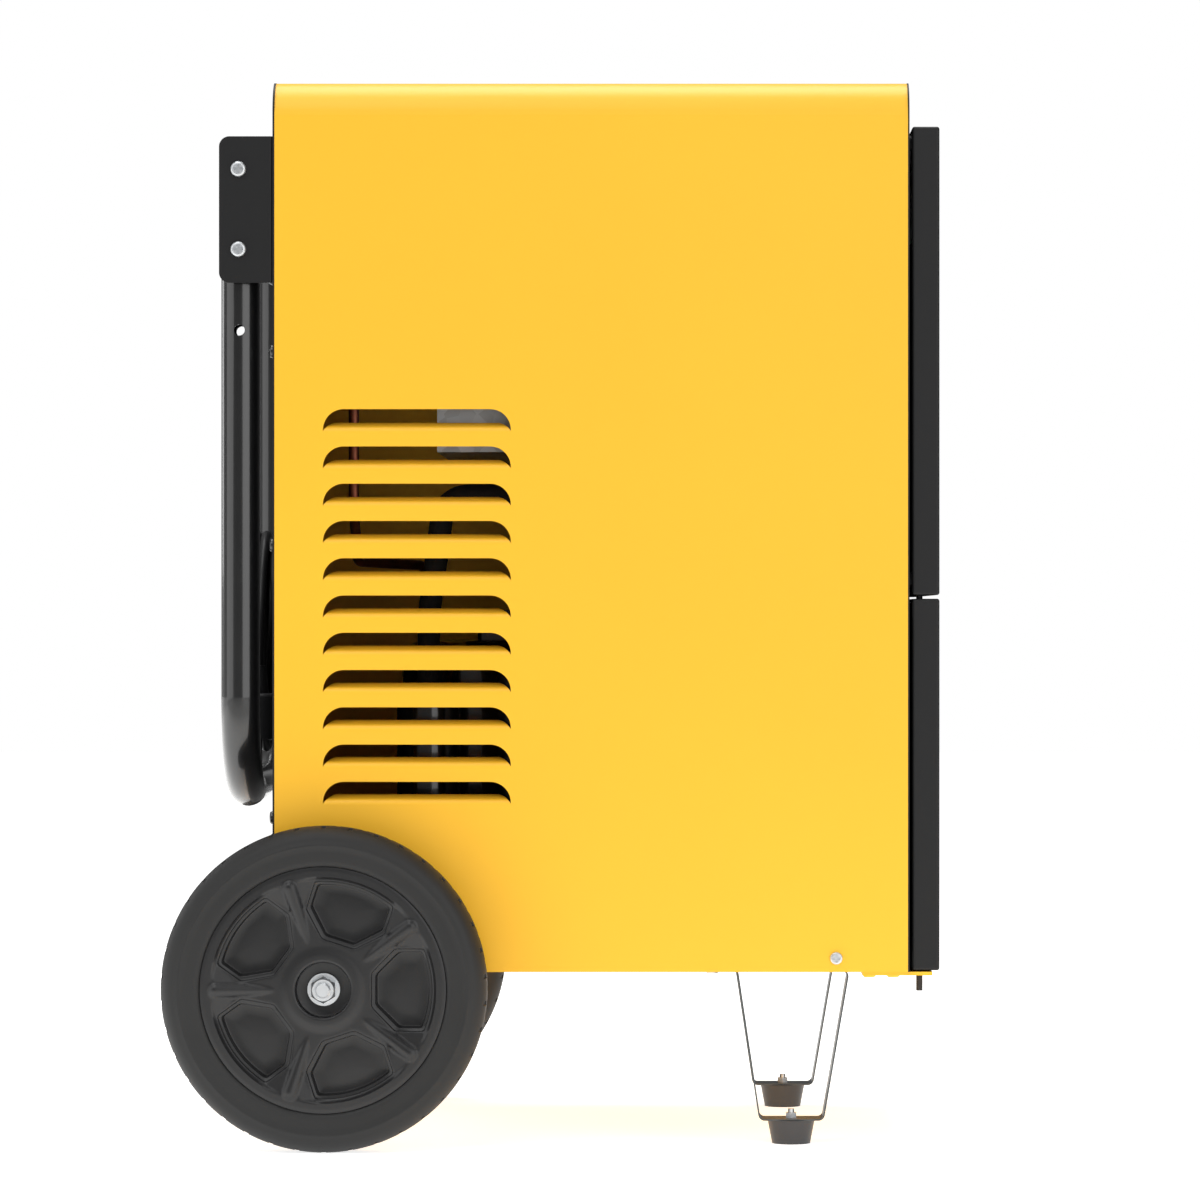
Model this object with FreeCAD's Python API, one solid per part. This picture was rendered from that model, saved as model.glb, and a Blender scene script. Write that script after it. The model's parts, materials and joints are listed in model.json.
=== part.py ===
import FreeCAD
import Part
import math
import os

# Commercial dehumidifier on two wheels and two feet.
# +X is the front, +Y is the machine's left side, +Z is up. The ground is Z = 0. All sizes are in millimetres.

# Driving sizes: wheels and carcass
wheel_diameter = 250.0
wheel_width = 45.0
wheel_gap = 5.0             # between the side of the shell and the wheel
wheel_inset = 41.95         # axle centre forward of the rear face
axle_drop = 11.0            # axle centre below the base plate
body_width = 400.0
body_depth = 492.25
body_height = 689.0
front_face = 299.35         # X of the front of the two front panels
panel_depth = 21.2          # thickness of the grille and of the tank door
panel_gap = 2.2             # between the front frame and the front panels
top_bend = 27.0
hem_width = 14.0
end_bend = 24.0             # upper corners of the rear panel and of the front frame
sheet = 1.2                 # shell and front frame
rear_sheet = 1.5
base_sheet = 2.0
base_flange = 22.0
screw_clearance = 0.1       # radial, round every screw
running_clearance = 0.05    # radial, round every pin that something turns on

# Louvres in the right side of the shell
louvre_count = 11
louvre_width = 145.2
louvre_height = 17.8
louvre_corner = 16.0
louvre_bend = 5.0
louvre_turn = 75.0          # degrees
louvre_pitch = 28.8
louvre_from_rear = 39.0
louvre_from_top = 254.0

# Front panels
door_gap = 1.0              # under the door
door_height = 287.5
panel_split = 2.8           # between the door and the grille
grille_from_top = 35.4
panel_side_margin = 3.0     # the panels are this much inside the body's sides
panel_edge = 2.0
panel_wall = 2.5
sill_thickness = 2.8
sill_depth = 54.0
sill_setback = 5.6
door_pin_diameter = 5.0
door_pin_from_rear = 5.8    # forward of the rear face of the door
door_pin_below = 12.0
door_pin_lip = 0.8          # of the head of the upper pin
door_bush_length = 12.0

# Axle and wheels
axle_diameter = 16.0
rim_radius = 94.5
hub_recess_radius = 21.25
spokes = 5
hub_recess_depth = 17.0
thread_diameter = 12.0      # of the axle's ends
nut_flats = 18.0
nut_height = 10.0
washer_diameter = 25.0
washer_thickness = 2.5
tread_depth = 1.6
tread_blocks = 38
tread_gap = 3.2
axial_play = 0.3
collar_gap = 0.7            # between the side of the shell and the collar on the axle

# Front feet
foot_spacing = 316.0
foot_from_front = 90.55
foot_top_diameter = 37.0
foot_sole_diameter = 29.8
foot_height = 18.5
strap_width = 30.0
strap_sheet = 1.2

# Handle
tube_diameter = 30.0
tube_wall = 2.0
handle_spacing = 352.0      # between the axes of the two legs
handle_from_rear = 26.45    # axis behind the rear face
handle_reach = 418.6        # from the pivot to the axis of the grip
handle_bend = 72.0
handle_pitch = 62.0         # pivot to locking screw, and pivot to locking hole
pivot_from_top = 130.4
tube_past_pivot = 15.4
bracket_sheet = 2.0
bracket_inset = 1.0         # outer face of the bracket inside the side of the body
bracket_reach = 41.4        # behind the rear face
bracket_below_pivot = 25.9
bracket_above_pivot = 87.3
bracket_flange = 32.0
bracket_corner = 8.0

# Inside
bulkhead_from_rear = 272.0
shelf_height = 279.0        # tank bay ceiling above the base
air_box_from_rear = 126.0
air_box_width = 340.0
air_box_height = 275.0
coil_wall_from_front = 143.2
coil_fins = 37
fin_sheet = 1.2
tank_wall = 2.5
tank_length = 196.0
tank_height = 256.0
tank_width = 340.0
compressor_diameter = 120.0
compressor_height = 232.0
compressor_from_rear = 150.0
fan_diameter = 220.0
pipe_radius = 4.0
cord_diameter = 8.0

# Worked out
half_width = body_width / 2
body_front = front_face - panel_depth - panel_gap
body_rear = body_front - body_depth
axle_height = wheel_diameter / 2
body_bottom = axle_height + axle_drop
body_top = body_bottom + body_height
shell_front = body_front - sheet
seam_z = body_top - top_bend - 6    # top of the service panel in the left side
shell_rear = body_rear + rear_sheet
inside_half = half_width - sheet
floor_top = body_bottom + base_sheet
panel_rear = front_face - panel_depth
panel_half = half_width - panel_side_margin
door_bottom = body_bottom + door_gap
door_top = door_bottom + door_height
grille_bottom = door_top + panel_split
grille_top = body_top - grille_from_top
door_pin_x = panel_rear + door_pin_from_rear
door_pin_y = -(panel_half - panel_wall - door_pin_diameter / 2 - door_pin_lip - 0.2)
wheel_x = body_rear + wheel_inset
wheel_inner = half_width + wheel_gap
wheel_outer = wheel_inner + wheel_width
foot_x = body_front - foot_from_front
handle_x = body_rear - handle_from_rear
pivot_z = body_top - pivot_from_top
grip_z = pivot_z - handle_reach
leg_y = handle_spacing / 2
bracket_outer = half_width - bracket_inset
bracket_inner = bracket_outer - bracket_sheet
bulkhead_x = body_rear + bulkhead_from_rear
shelf_z = body_bottom + shelf_height
air_box_rear = body_rear + air_box_from_rear
coil_wall_x = body_front - coil_wall_from_front
air_box_bottom = body_top - sheet - 10 - air_box_height

written = []


def vector(x, y, z):
    return FreeCAD.Vector(x, y, z)


def box(x0, x1, y0, y1, z0, z1):
    return Part.makeBox(x1 - x0, y1 - y0, z1 - z0, vector(x0, y0, z0))


def rod(radius, start, end):
    start = vector(*start)
    along = vector(*end) - start
    return Part.makeCylinder(radius, along.Length, start, along)


def ring(outer, inner, start, end):
    return rod(outer, start, end).cut(rod(inner, start, end))


def prism(points, along):
    """A straight solid with a flat outline of points, pushed along a vector."""
    corners = [vector(*p) for p in points]
    outline = Part.makePolygon(corners + [corners[0]])
    return Part.Face(outline).extrude(vector(*along))


def hexagon(flats, start, along):
    """A hexagonal prism across flats, from a centre point along the Y or Z axis."""
    reach = flats / math.sqrt(3)
    points = []
    for k in range(6):
        a = math.radians(60 * k + 30)
        u = reach * math.cos(a)
        v = reach * math.sin(a)
        if along[1]:
            points.append((start[0] + u, start[1], start[2] + v))
        else:
            points.append((start[0] + u, start[1] + v, start[2]))
    return prism(points, along)


def edges_along(shape, axis, test=None):
    """The straight edges of a shape that run along an axis and pass a test of their middle."""
    found = []
    for edge in shape.Edges:
        if not isinstance(edge.Curve, Part.Line):
            continue
        a = edge.Vertexes[0].Point
        b = edge.Vertexes[-1].Point
        way = b - a
        if way.Length < 1e-6 or abs(abs(way.dot(axis)) / way.Length - 1) > 1e-6:
            continue
        if test is None or test((a + b) * 0.5):
            found.append(edge)
    return found


def cut_all(shape, tools):
    return shape.cut(Part.makeCompound(tools)) if tools else shape


def both_sides(shape):
    """A shape on the right side and its mirror image on the left."""
    return [shape, mirrored(shape)]


def mirrored(shape):
    return shape.mirror(vector(0, 0, 0), vector(0, 1, 0))


def body_section(x, inset, bottom, thickness, bend=top_bend):
    """A plate across X with the body's outline: straight sides and bent upper corners."""
    h = half_width - inset
    top = body_top - inset
    r = bend - inset
    k = r * math.sqrt(0.5)
    lines = [
        Part.makeLine(vector(x, h - r, top), vector(x, -h + r, top)),
        Part.Arc(
            vector(x, -h + r, top), vector(x, -h + r - k, top - r + k), vector(x, -h, top - r)
        ).toShape(),
        Part.makeLine(vector(x, -h, top - r), vector(x, -h, bottom)),
        Part.makeLine(vector(x, -h, bottom), vector(x, h, bottom)),
        Part.makeLine(vector(x, h, bottom), vector(x, h, top - r)),
        Part.Arc(
            vector(x, h, top - r), vector(x, h - r + k, top - r + k), vector(x, h - r, top)
        ).toShape(),
    ]
    return Part.Face(Part.Wire(lines)).extrude(vector(thickness, 0, 0))


def bent_path(points, bend):
    """A wire of straight runs joined by tangent arcs. bend is one radius, or one for each inner point."""
    points = [vector(*p) for p in points]
    edges = []
    last = points[0]
    for k in range(1, len(points) - 1):
        radius = bend if isinstance(bend, (int, float)) else bend[k - 1]
        corner = points[k]
        arriving = (corner - points[k - 1]).normalize()
        leaving = (points[k + 1] - corner).normalize()
        turn = arriving.getAngle(leaving)
        back = radius * math.tan(turn / 2)
        start = corner - arriving * back
        end = corner + leaving * back
        inward = (leaving - arriving).normalize()
        middle = corner + inward * (radius / math.cos(turn / 2) - radius)
        edges.append(Part.makeLine(last, start))
        edges.append(Part.Arc(start, middle, end).toShape())
        last = end
    edges.append(Part.makeLine(last, points[-1]))
    return Part.Wire(edges)


def tube(points, bend, radius, bore=0.0):
    """A round tube or rod that follows a bent path."""
    path = bent_path(points, bend)
    start = vector(*points[0])
    along = vector(*points[1]) - start
    section = Part.Wire(Part.makeCircle(radius, start, along))
    body = path.makePipeShell([section], True, False)
    if bore:
        hollow = Part.Wire(Part.makeCircle(bore, start, along))
        body = body.cut(path.makePipeShell([hollow], True, False))
    return body


def strap(points, thickness, width, centre_y, bend):
    """A strip of sheet bent along points in the XZ plane. The sheet lies to the left of the points."""
    near = centre_y - width / 2
    right = [vector(x, near, z) for x, z in points]
    ways = [(q - p).normalize() for p, q in zip(right, right[1:])]
    lefts = [vector(-w.z, 0, w.x) for w in ways]
    left = [right[0] + lefts[0] * thickness]
    right_radii = []
    left_radii = []
    for k in range(1, len(right) - 1):
        side = (lefts[k - 1] + lefts[k]).normalize()
        left.append(right[k] + side * (thickness / side.dot(lefts[k])))
        turns_left = ways[k].dot(lefts[k - 1]) > 0
        right_radii.append(bend if turns_left else bend - thickness)
        left_radii.append(bend - thickness if turns_left else bend)
    left.append(right[-1] + lefts[-1] * thickness)
    edges = bent_path([tuple(p) for p in right], right_radii).Edges
    edges += bent_path([tuple(p) for p in left], left_radii).Edges
    edges += [Part.makeLine(right[0], left[0]), Part.makeLine(right[-1], left[-1])]
    outline = Part.Wire(Part.__sortEdges__(edges))
    return Part.Face(outline).extrude(vector(0, width, 0))


def pan_screw(seat, outward, head_radius, head_height, shank_radius, length):
    """A pan-head screw: its seat is the underside of the head, and the shank runs the other way."""
    seat = vector(*seat)
    outward = vector(*outward)
    head = Part.makeCylinder(head_radius, head_height, seat, outward)
    rim = [e for e in head.Edges if abs((e.CenterOfMass - seat).dot(outward) - head_height) < 1e-6]
    head = head.makeFillet(head_height * 0.6, rim[:1])
    slot = head_radius * 0.18
    top = seat + outward * head_height
    for turn in (0, 1):
        head = head.cut(cross_arm(top, outward, head_radius * 0.62, slot, turn, head_height * 0.55))
    shank = Part.makeCylinder(shank_radius, length, seat, outward * -1)
    return head.fuse(shank).removeSplitter()


def cross_arm(top, outward, reach, half, turn, depth):
    """One arm of a cross recess."""
    if abs(outward.x) > 0.5:
        a, b = vector(0, 1, 0), vector(0, 0, 1)
    elif abs(outward.y) > 0.5:
        a, b = vector(1, 0, 0), vector(0, 0, 1)
    else:
        a, b = vector(1, 0, 0), vector(0, 1, 0)
    if turn:
        a, b = b, a
    corners = [
        top + a * reach + b * half,
        top - a * reach + b * half,
        top - a * reach - b * half,
        top + a * reach - b * half,
    ]
    corners = [c + outward for c in corners]
    outline = Part.makePolygon(corners + [corners[0]])
    return Part.Face(outline).extrude(outward * -(depth + 1))


def save(name, *solids):
    """Writes one named node as a STEP file."""
    parts = []
    for solid in solids:
        parts.extend(solid.Solids)
    for part in parts:
        if not part.isValid() or part.Volume <= 0:
            print("BAD", name)
    shape = parts[0] if len(parts) == 1 else Part.makeCompound(parts)
    shape.exportStep(f"parts/{name}.step")
    written.append(name)
    print(name, len(parts), round(shape.Volume))


# Where fasteners and openings go
cover_screw_x = front_face - 80.0
cover_screw_z = body_bottom + 10.7
rear_screw_y = half_width - 8.0
rear_screw_zs = (body_bottom + 119, body_bottom + 330, body_bottom + 480)
bracket_screw_y = half_width - 20.0
bracket_screw_zs = (pivot_z - 14.6, pivot_z + 75.4)
foot_centre_y = foot_spacing / 2
foot_legs = (foot_x - 42.55, foot_x + 45.35)
foot_plate = (foot_x - 25.15, foot_x + 25.15)
foot_screw_x = foot_x - 61.5
foot_weld_x = foot_x + 30.0     # the strap's front end is welded to the base
compressor_x = body_rear + compressor_from_rear
compressor_bolts = [
    (compressor_x + 76 * math.cos(a), 76 * math.sin(a)) for a in (math.pi / 3, math.pi, -math.pi / 3)
]
pan_head_radius = 4.9
pan_head_height = 2.6
self_tap_radius = 2.2
handle_screw_head = 6.0
handle_screw_radius = 3.0
tank_rear = bulkhead_x + 8
tank_top = floor_top + tank_height
fan_z = air_box_bottom + air_box_height / 2
pipe_y = half_width - 18
panel_z = grille_top - 44.6     # middle of the control panel
button_radius = 7.0
button_ys = (16.0, 44.0, 72.0)
drain_x = coil_wall_x + 60
drain_y = 60.0
float_z = tank_top + 8
accumulator_at = (compressor_x - 34, -95.0)
evaporator_x = coil_wall_x + 86
condenser_x = coil_wall_x + 34
evaporator_header = 8.0
condenser_header = 6.0
suction_radius = 9.0
suction_z = shelf_z + 90
discharge_x = body_rear + 61
discharge_y = pipe_y - 14
discharge_z = shelf_z + 175
liquid_z = shelf_z + 115
capillary_z = shelf_z + 68
capillary_y = pipe_y - 20
coil_half = 150.0
gland_thread_radius = 8.0
cord_x = body_rear - 19.5
cord_end_y = 88.0           # cord gland on the left of the coil, plug on the right
coil_z = body_bottom + 255.0
coil_half_tall = 91.0
coil_half_wide = 55.0
coil_bundle = 24.0
gland_z = body_bottom + 190.0
gland_top = gland_z + 22.0
plug_top = body_bottom + 236.0
plug_radius = 18.5


def screw_hole(seat, inward, radius):
    """A long clearance hole for a screw that sits on a face."""
    seat = vector(*seat)
    inward = vector(*inward)
    return Part.makeCylinder(radius + screw_clearance, 40, seat - inward * 8, inward)


def louvre(top):
    """The arched hole of one louvre, below a height, and its tab, which stays joined along the bottom."""
    rear = body_rear + louvre_from_rear
    front = rear + louvre_width
    low = top - louvre_height
    turn = math.radians(louvre_turn)
    straight = louvre_height - louvre_bend * turn

    def bent(radius, angle, length=0.0):
        """A point of the tab's section: round the bend by an angle, then straight on by a length."""
        y = louvre_bend - radius * math.cos(angle) + length * math.sin(angle)
        z = radius * math.sin(angle) + length * math.cos(angle)
        return vector(rear, y - half_width, low + z)

    inner = louvre_bend - sheet
    section = Part.Wire([
        Part.Arc(bent(louvre_bend, 0), bent(louvre_bend, turn / 2), bent(louvre_bend, turn)).toShape(),
        Part.makeLine(bent(louvre_bend, turn), bent(louvre_bend, turn, straight)),
        Part.makeLine(bent(louvre_bend, turn, straight), bent(inner, turn, straight)),
        Part.makeLine(bent(inner, turn, straight), bent(inner, turn)),
        Part.Arc(bent(inner, turn), bent(inner, turn / 2), bent(inner, 0)).toShape(),
        Part.makeLine(bent(inner, 0), bent(louvre_bend, 0)),
    ])
    tab = Part.Face(section).extrude(vector(louvre_width, 0, 0))
    rise = bent(louvre_bend, turn, straight).z - low
    hole = arch(rear, front, low, louvre_height).extrude(vector(0, sheet, 0))
    return hole, tab.common(arch(rear, front, low, rise).extrude(vector(0, louvre_height, 0)))


def arch(rear, front, low, height):
    """A face on the right side with upright ends and upper corners rounded to a height."""
    share = math.sqrt(0.5)
    side = height * (1 - louvre_corner / louvre_height)
    x = louvre_corner * (1 - share)
    z = side + (height - side) * share
    foot = [vector(rear, -half_width, low), vector(front, -half_width, low)]
    ends = [p + vector(0, 0, side) for p in foot]
    bends = [foot[0] + vector(x, 0, z), foot[1] + vector(-x, 0, z)]
    tops = [foot[0] + vector(louvre_corner, 0, height), foot[1] + vector(-louvre_corner, 0, height)]
    return Part.Face(Part.Wire([
        Part.makeLine(foot[0], ends[0]),
        Part.Arc(ends[0], bends[0], tops[0]).toShape(),
        Part.makeLine(tops[0], tops[1]),
        Part.Arc(tops[1], bends[1], ends[1]).toShape(),
        Part.makeLine(ends[1], foot[1]),
        Part.makeLine(foot[1], foot[0]),
    ]))


def make_shell():
    """The bent cover, with louvres in its right side, and the service panel that closes its left side."""
    skin = body_section(shell_rear, 0, body_bottom, shell_front - shell_rear)
    skin = skin.cut(body_section(shell_rear, sheet, body_bottom, shell_front - shell_rear))
    above = body_bottom + base_flange + 2
    for x in (shell_rear, shell_front - sheet):
        hem = body_section(x, sheet, above, sheet).cut(body_section(x, sheet + hem_width, above - 1, sheet))
        skin = skin.fuse(hem)
    holes = []
    tabs = []
    for k in range(louvre_count):
        hole, tab = louvre(body_top - louvre_from_top - k * louvre_pitch)
        holes.append(hole)
        tabs.append(tab)
    holes += both_sides(screw_hole((cover_screw_x, -half_width, cover_screw_z), (0, 1, 0), self_tap_radius))
    for z in rear_screw_zs:
        holes += both_sides(screw_hole((body_rear, -rear_screw_y, z), (1, 0, 0), self_tap_radius))
    skin = cut_all(skin, holes).fuse(tabs)
    left = box(
        shell_rear - 1, shell_front + 1, half_width - top_bend, half_width + 1, body_bottom - 1, seam_z
    )
    save("shell_cover", skin.cut(left))
    save("left_side_panel", skin.common(left))


def make_base():
    base = box(shell_rear, shell_front, -inside_half, inside_half, body_bottom, floor_top)
    side = box(
        shell_rear, shell_front, -inside_half, base_sheet - inside_half, floor_top, body_bottom + base_flange
    )
    rear = box(
        shell_rear, shell_rear + base_sheet, base_sheet - inside_half, inside_half - base_sheet,
        floor_top, body_bottom + base_flange
    )
    base = base.fuse(both_sides(side) + [rear])
    holes = both_sides(screw_hole((cover_screw_x, -half_width, cover_screw_z), (0, 1, 0), self_tap_radius))
    holes += both_sides(screw_hole((foot_screw_x, -foot_centre_y, body_bottom), (0, 0, 1), 2.5))
    for x, y in compressor_bolts:
        holes.append(screw_hole((x, y, body_bottom), (0, 0, 1), 4))
    save("base_plate", cut_all(base, holes))


def make_sill():
    front = front_face - sill_setback
    top = body_bottom
    rear = front - sill_depth
    sill = box(rear, front, -panel_half, panel_half, top - sill_thickness, top)
    dimples = []
    for x in (rear + 5.5, rear + 24):
        cone = Part.makeCone(5.5, 4, 1.6, vector(x, 7 - panel_half, top - sill_thickness), vector(0, 0, -1))
        dimples += both_sides(cone)
    sill = sill.fuse(dimples)
    pin = rod(door_pin_diameter / 2, (door_pin_x, door_pin_y, top - 20), (door_pin_x, door_pin_y, top + 20))
    strap_gap = box(
        rear - 1, foot_legs[1] + 9, -foot_centre_y - strap_width / 2 - 1,
        -foot_centre_y + strap_width / 2 + 1, top - 5, top + 1
    )
    save("front_sill", sill.cut(pin).cut(Part.makeCompound(both_sides(strap_gap))))


def make_rear_panel():
    panel = body_section(body_rear, 0, body_bottom, rear_sheet, end_bend)
    holes = []
    for row in range(12):
        z = fan_z - 82.5 + 15 * row
        for y in (-100, 4):
            holes.append(box(body_rear - 1, body_rear + 3, y, y + 96, z, z + 7))
    for z in rear_screw_zs:
        holes += both_sides(screw_hole((body_rear, -rear_screw_y, z), (1, 0, 0), self_tap_radius))
    for z in bracket_screw_zs:
        holes += both_sides(screw_hole((body_rear, -bracket_screw_y, z), (1, 0, 0), self_tap_radius))
    holes.append(
        rod(gland_thread_radius, (body_rear - 5, cord_end_y, gland_z), (body_rear + 5, cord_end_y, gland_z))
    )
    save("rear_panel", cut_all(panel, holes))


def make_front_frame():
    frame = body_section(shell_front, 0, body_bottom, sheet, end_bend)
    lower = box(shell_front - 1, body_front + 1, -178, 178, floor_top + 1, shelf_z - 3)
    upper = box(shell_front - 1, body_front + 1, -172, 172, shelf_z + 30, grille_top - 20)
    save("front_frame", frame.cut(lower).cut(upper))


def make_grille():
    outer = box(panel_rear, front_face, -panel_half, panel_half, grille_bottom, grille_top)
    outer = outer.makeFillet(panel_edge, outer.Edges)
    hollow = box(
        panel_rear - 1, front_face - panel_wall, panel_wall - panel_half, panel_half - panel_wall,
        grille_bottom + panel_wall, grille_top - panel_wall
    )
    grille = outer.cut(hollow)
    bosses = []
    for z in (grille_bottom + 12, grille_top - 12):
        boss = rod(6, (body_front, -panel_half + 14, z), (front_face - panel_wall, -panel_half + 14, z))
        bosses += both_sides(boss)
    grille = grille.fuse(bosses)
    slots = []
    z = grille_bottom + 22
    while z < panel_z - 50:
        for y in (-168, -52, 64):
            slots.append(box(front_face - 5, front_face + 1, y, y + 104, z, z + 7))
        z += 13
    slots.append(box(front_face - 5, front_face + 1, -92, 92, panel_z - 32, panel_z + 32))
    pin_hole = rod(
        door_pin_diameter / 2, (door_pin_x, door_pin_y, grille_bottom - 2),
        (door_pin_x, door_pin_y, grille_bottom + 5)
    )
    slots.append(pin_hole)
    slots.append(rod(2, (panel_rear + 3, 0, grille_top - 5), (panel_rear + 3, 0, grille_top + 5)))
    save("intake_grille", cut_all(grille, slots))


def make_filter():
    front = shell_front - 6
    outer = box(front - 14, front, -171, 171, shelf_z + 31, grille_top - 21)
    inner = box(front - 15, front + 1, -161, 161, shelf_z + 41, grille_top - 31)
    frame = outer.cut(inner)
    bars = [box(front - 14, front - 9, y - 2, y + 2, shelf_z + 41, grille_top - 31) for y in (-54, 54)]
    save("filter_frame", frame.fuse(bars))
    save("filter_mesh", box(front - 9, front - 3, -161, 161, shelf_z + 41, grille_top - 31))


def make_door():
    outer = box(panel_rear, front_face, -panel_half, panel_half, door_bottom, door_top)
    outer = outer.makeFillet(panel_edge, outer.Edges)
    hollow = box(
        panel_rear - 1, front_face - panel_wall, panel_wall - panel_half, panel_half - panel_wall,
        door_bottom + panel_wall, door_top - panel_wall
    )
    door = outer.cut(hollow)
    rear_side = door_pin_y - 5.5
    bushes = []
    for low in (door_bottom + panel_wall, door_top - panel_wall - door_bush_length):
        bushes.append(
            box(panel_rear + 0.5, panel_rear + 12, rear_side, door_pin_y + 8, low, low + door_bush_length)
        )
    door = door.fuse(bushes).removeSplitter()
    bore = rod(
        door_pin_diameter / 2 + running_clearance,
        (door_pin_x, door_pin_y, door_bottom - 1), (door_pin_x, door_pin_y, door_top + 1)
    )
    notch = box(panel_rear - 1, panel_rear + 9, panel_half - 6, panel_half + 1, 0, 60)
    notch = notch.translated(vector(0, 0, (door_bottom + door_top) / 2 - 30))
    save("tank_door", door.cut(bore).cut(notch))
    radius = door_pin_diameter / 2
    lower = rod(
        radius, (door_pin_x, door_pin_y, body_bottom - door_pin_below - sill_thickness),
        (door_pin_x, door_pin_y, door_bottom + panel_wall + door_bush_length - 1)
    )
    upper = rod(
        radius, (door_pin_x, door_pin_y, door_top - panel_wall - door_bush_length + 1),
        (door_pin_x, door_pin_y, grille_bottom + panel_wall)
    )
    head = rod(
        radius + door_pin_lip, (door_pin_x, door_pin_y, grille_bottom + panel_wall),
        (door_pin_x, door_pin_y, grille_bottom + panel_wall + 2)
    )
    stud = rod(2, (panel_rear + 3, 0, grille_top - 9), (panel_rear + 3, 0, grille_top))
    dome = rod(2.9, (panel_rear + 3, 0, grille_top), (panel_rear + 3, 0, grille_top + 3.1))
    dome = dome.makeFillet(1.8, [e for e in dome.Edges if e.CenterOfMass.z > grille_top + 3])
    save("front_panel_pins", lower, upper.fuse(head), stud.fuse(dome))
    middle = (door_bottom + door_top) / 2
    save("door_magnet", box(body_front, panel_rear - 0.3, 183, 193, middle + 60, middle + 95))


def make_controls():
    front = front_face - 0.4
    step = front_face - panel_wall
    plate = box(step, front, -91.7, 91.7, panel_z - 31.7, panel_z + 31.7)
    flange = box(step - 1.5, step, -97, 97, panel_z - 37, panel_z + 37)
    panel = plate.fuse(flange)
    board_front = step - 8.5
    posts = []
    for y in (-80, 80):
        for z in (panel_z - 24, panel_z + 24):
            posts.append(rod(3, (board_front, y, z), (step - 1.5, y, z)))
    panel = panel.fuse(posts)
    window = box(front - 1.4, front, -72, -8, panel_z - 14, panel_z + 14)
    panel = panel.cut(window)
    tools = []
    for y in button_ys:
        tools.append(rod(button_radius + 0.3, (step - 3, y, panel_z), (front + 1, y, panel_z)))
    save("control_panel", cut_all(panel, tools))
    save("display_window", box(front - 1.4, front - 0.2, -72, -8, panel_z - 14, panel_z + 14))
    for name, y in zip(("button_power", "button_up", "button_down"), button_ys):
        cap = rod(button_radius, (step - 3.6, y, panel_z), (front + 0.3, y, panel_z))
        cap = cap.makeFillet(0.6, [e for e in cap.Edges if e.CenterOfMass.x > front + 0.2])
        collar = rod(button_radius + 1.8, (step - 3.6, y, panel_z), (step - 1.9, y, panel_z))
        save(name, cap.fuse(collar))
    board = box(board_front - 1.6, board_front, -86, 86, panel_z - 28, panel_z + 28)
    for y in button_ys:
        board = board.fuse(box(board_front, board_front + 3.5, y - 3, y + 3, panel_z - 3, panel_z + 3))
    save("control_board", board)


def make_bay():
    reach = inside_half - base_sheet - 0.3
    wall = box(bulkhead_x, bulkhead_x + sheet, -reach, reach, floor_top, shelf_z)
    ceiling = box(bulkhead_x, shell_front - 2, -reach, reach, shelf_z, shelf_z + sheet)
    spout = rod(8.3, (drain_x, drain_y, shelf_z - 1), (drain_x, drain_y, shelf_z + 3))
    bay = wall.fuse(ceiling).cut(spout)
    wall = box(
        coil_wall_x, coil_wall_x + sheet, -reach, reach, shelf_z + sheet, body_top - top_bend - 2
    )
    half = air_box_width / 2
    wall = wall.cut(box(
        coil_wall_x - 1, coil_wall_x + 3, 6 - half, half - 6, air_box_bottom + 6, body_top - top_bend - 8
    ))
    passages = [
        rod(radius, (coil_wall_x - 2, y, z), (coil_wall_x + 4, y, z)) for radius, y, z in (
            (suction_radius + 1, -pipe_y, suction_z), (pipe_radius + 1, -pipe_y, discharge_z),
            (4, pipe_y, liquid_z), (2.5, capillary_y, capillary_z)
        )
    ]
    save("inner_walls", bay, cut_all(wall, passages))


def make_air_box():
    half = air_box_width / 2
    top = air_box_bottom + air_box_height
    outer = box(air_box_rear, coil_wall_x, -half, half, air_box_bottom, top)
    inner = box(
        air_box_rear + sheet, coil_wall_x + 1, sheet - half, half - sheet, air_box_bottom + sheet, top - sheet
    )
    mouth = rod(fan_diameter / 2 + 4, (air_box_rear - 1, 0, fan_z), (air_box_rear + 3, 0, fan_z))
    save("air_box", outer.cut(inner).cut(mouth))
    motor_rear = air_box_rear + 44
    motor_front = motor_rear + 72
    motor = rod(44, (motor_rear, 0, fan_z), (motor_front, 0, fan_z))
    motor = motor.makeFillet(6, motor.Edges[:1] + motor.Edges[2:])
    shaft_hole = rod(4 + running_clearance, (motor_rear - 1, 0, fan_z), (motor_rear + 30, 0, fan_z))
    save("fan_motor", motor.cut(shaft_hole))
    strip = box(motor_front, motor_front + 3, sheet - half, half - sheet, fan_z - 15, fan_z + 15)
    foot = box(motor_front + 3, motor_front + 23, sheet - half, sheet - half + 3, fan_z - 15, fan_z + 15)
    save("fan_motor_bracket", strip.fuse(both_sides(foot)))
    hub = rod(30, (motor_rear - 38, 0, fan_z), (motor_rear - 10, 0, fan_z))
    shaft = rod(4, (motor_rear - 12, 0, fan_z), (motor_rear + 28, 0, fan_z))
    impeller = hub.fuse(shaft)
    for k in range(5):
        blade = box(-22, 22, -1.3, 1.3, 26, fan_diameter / 2 - 2)
        blade.rotate(vector(0, 0, 0), vector(0, 0, 1), 62)
        blade.rotate(vector(0, 0, 0), vector(1, 0, 0), 72 * k)
        blade.translate(vector(motor_rear - 24, 0, fan_z))
        impeller = impeller.fuse(blade)
    save("fan_impeller", impeller)


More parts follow.
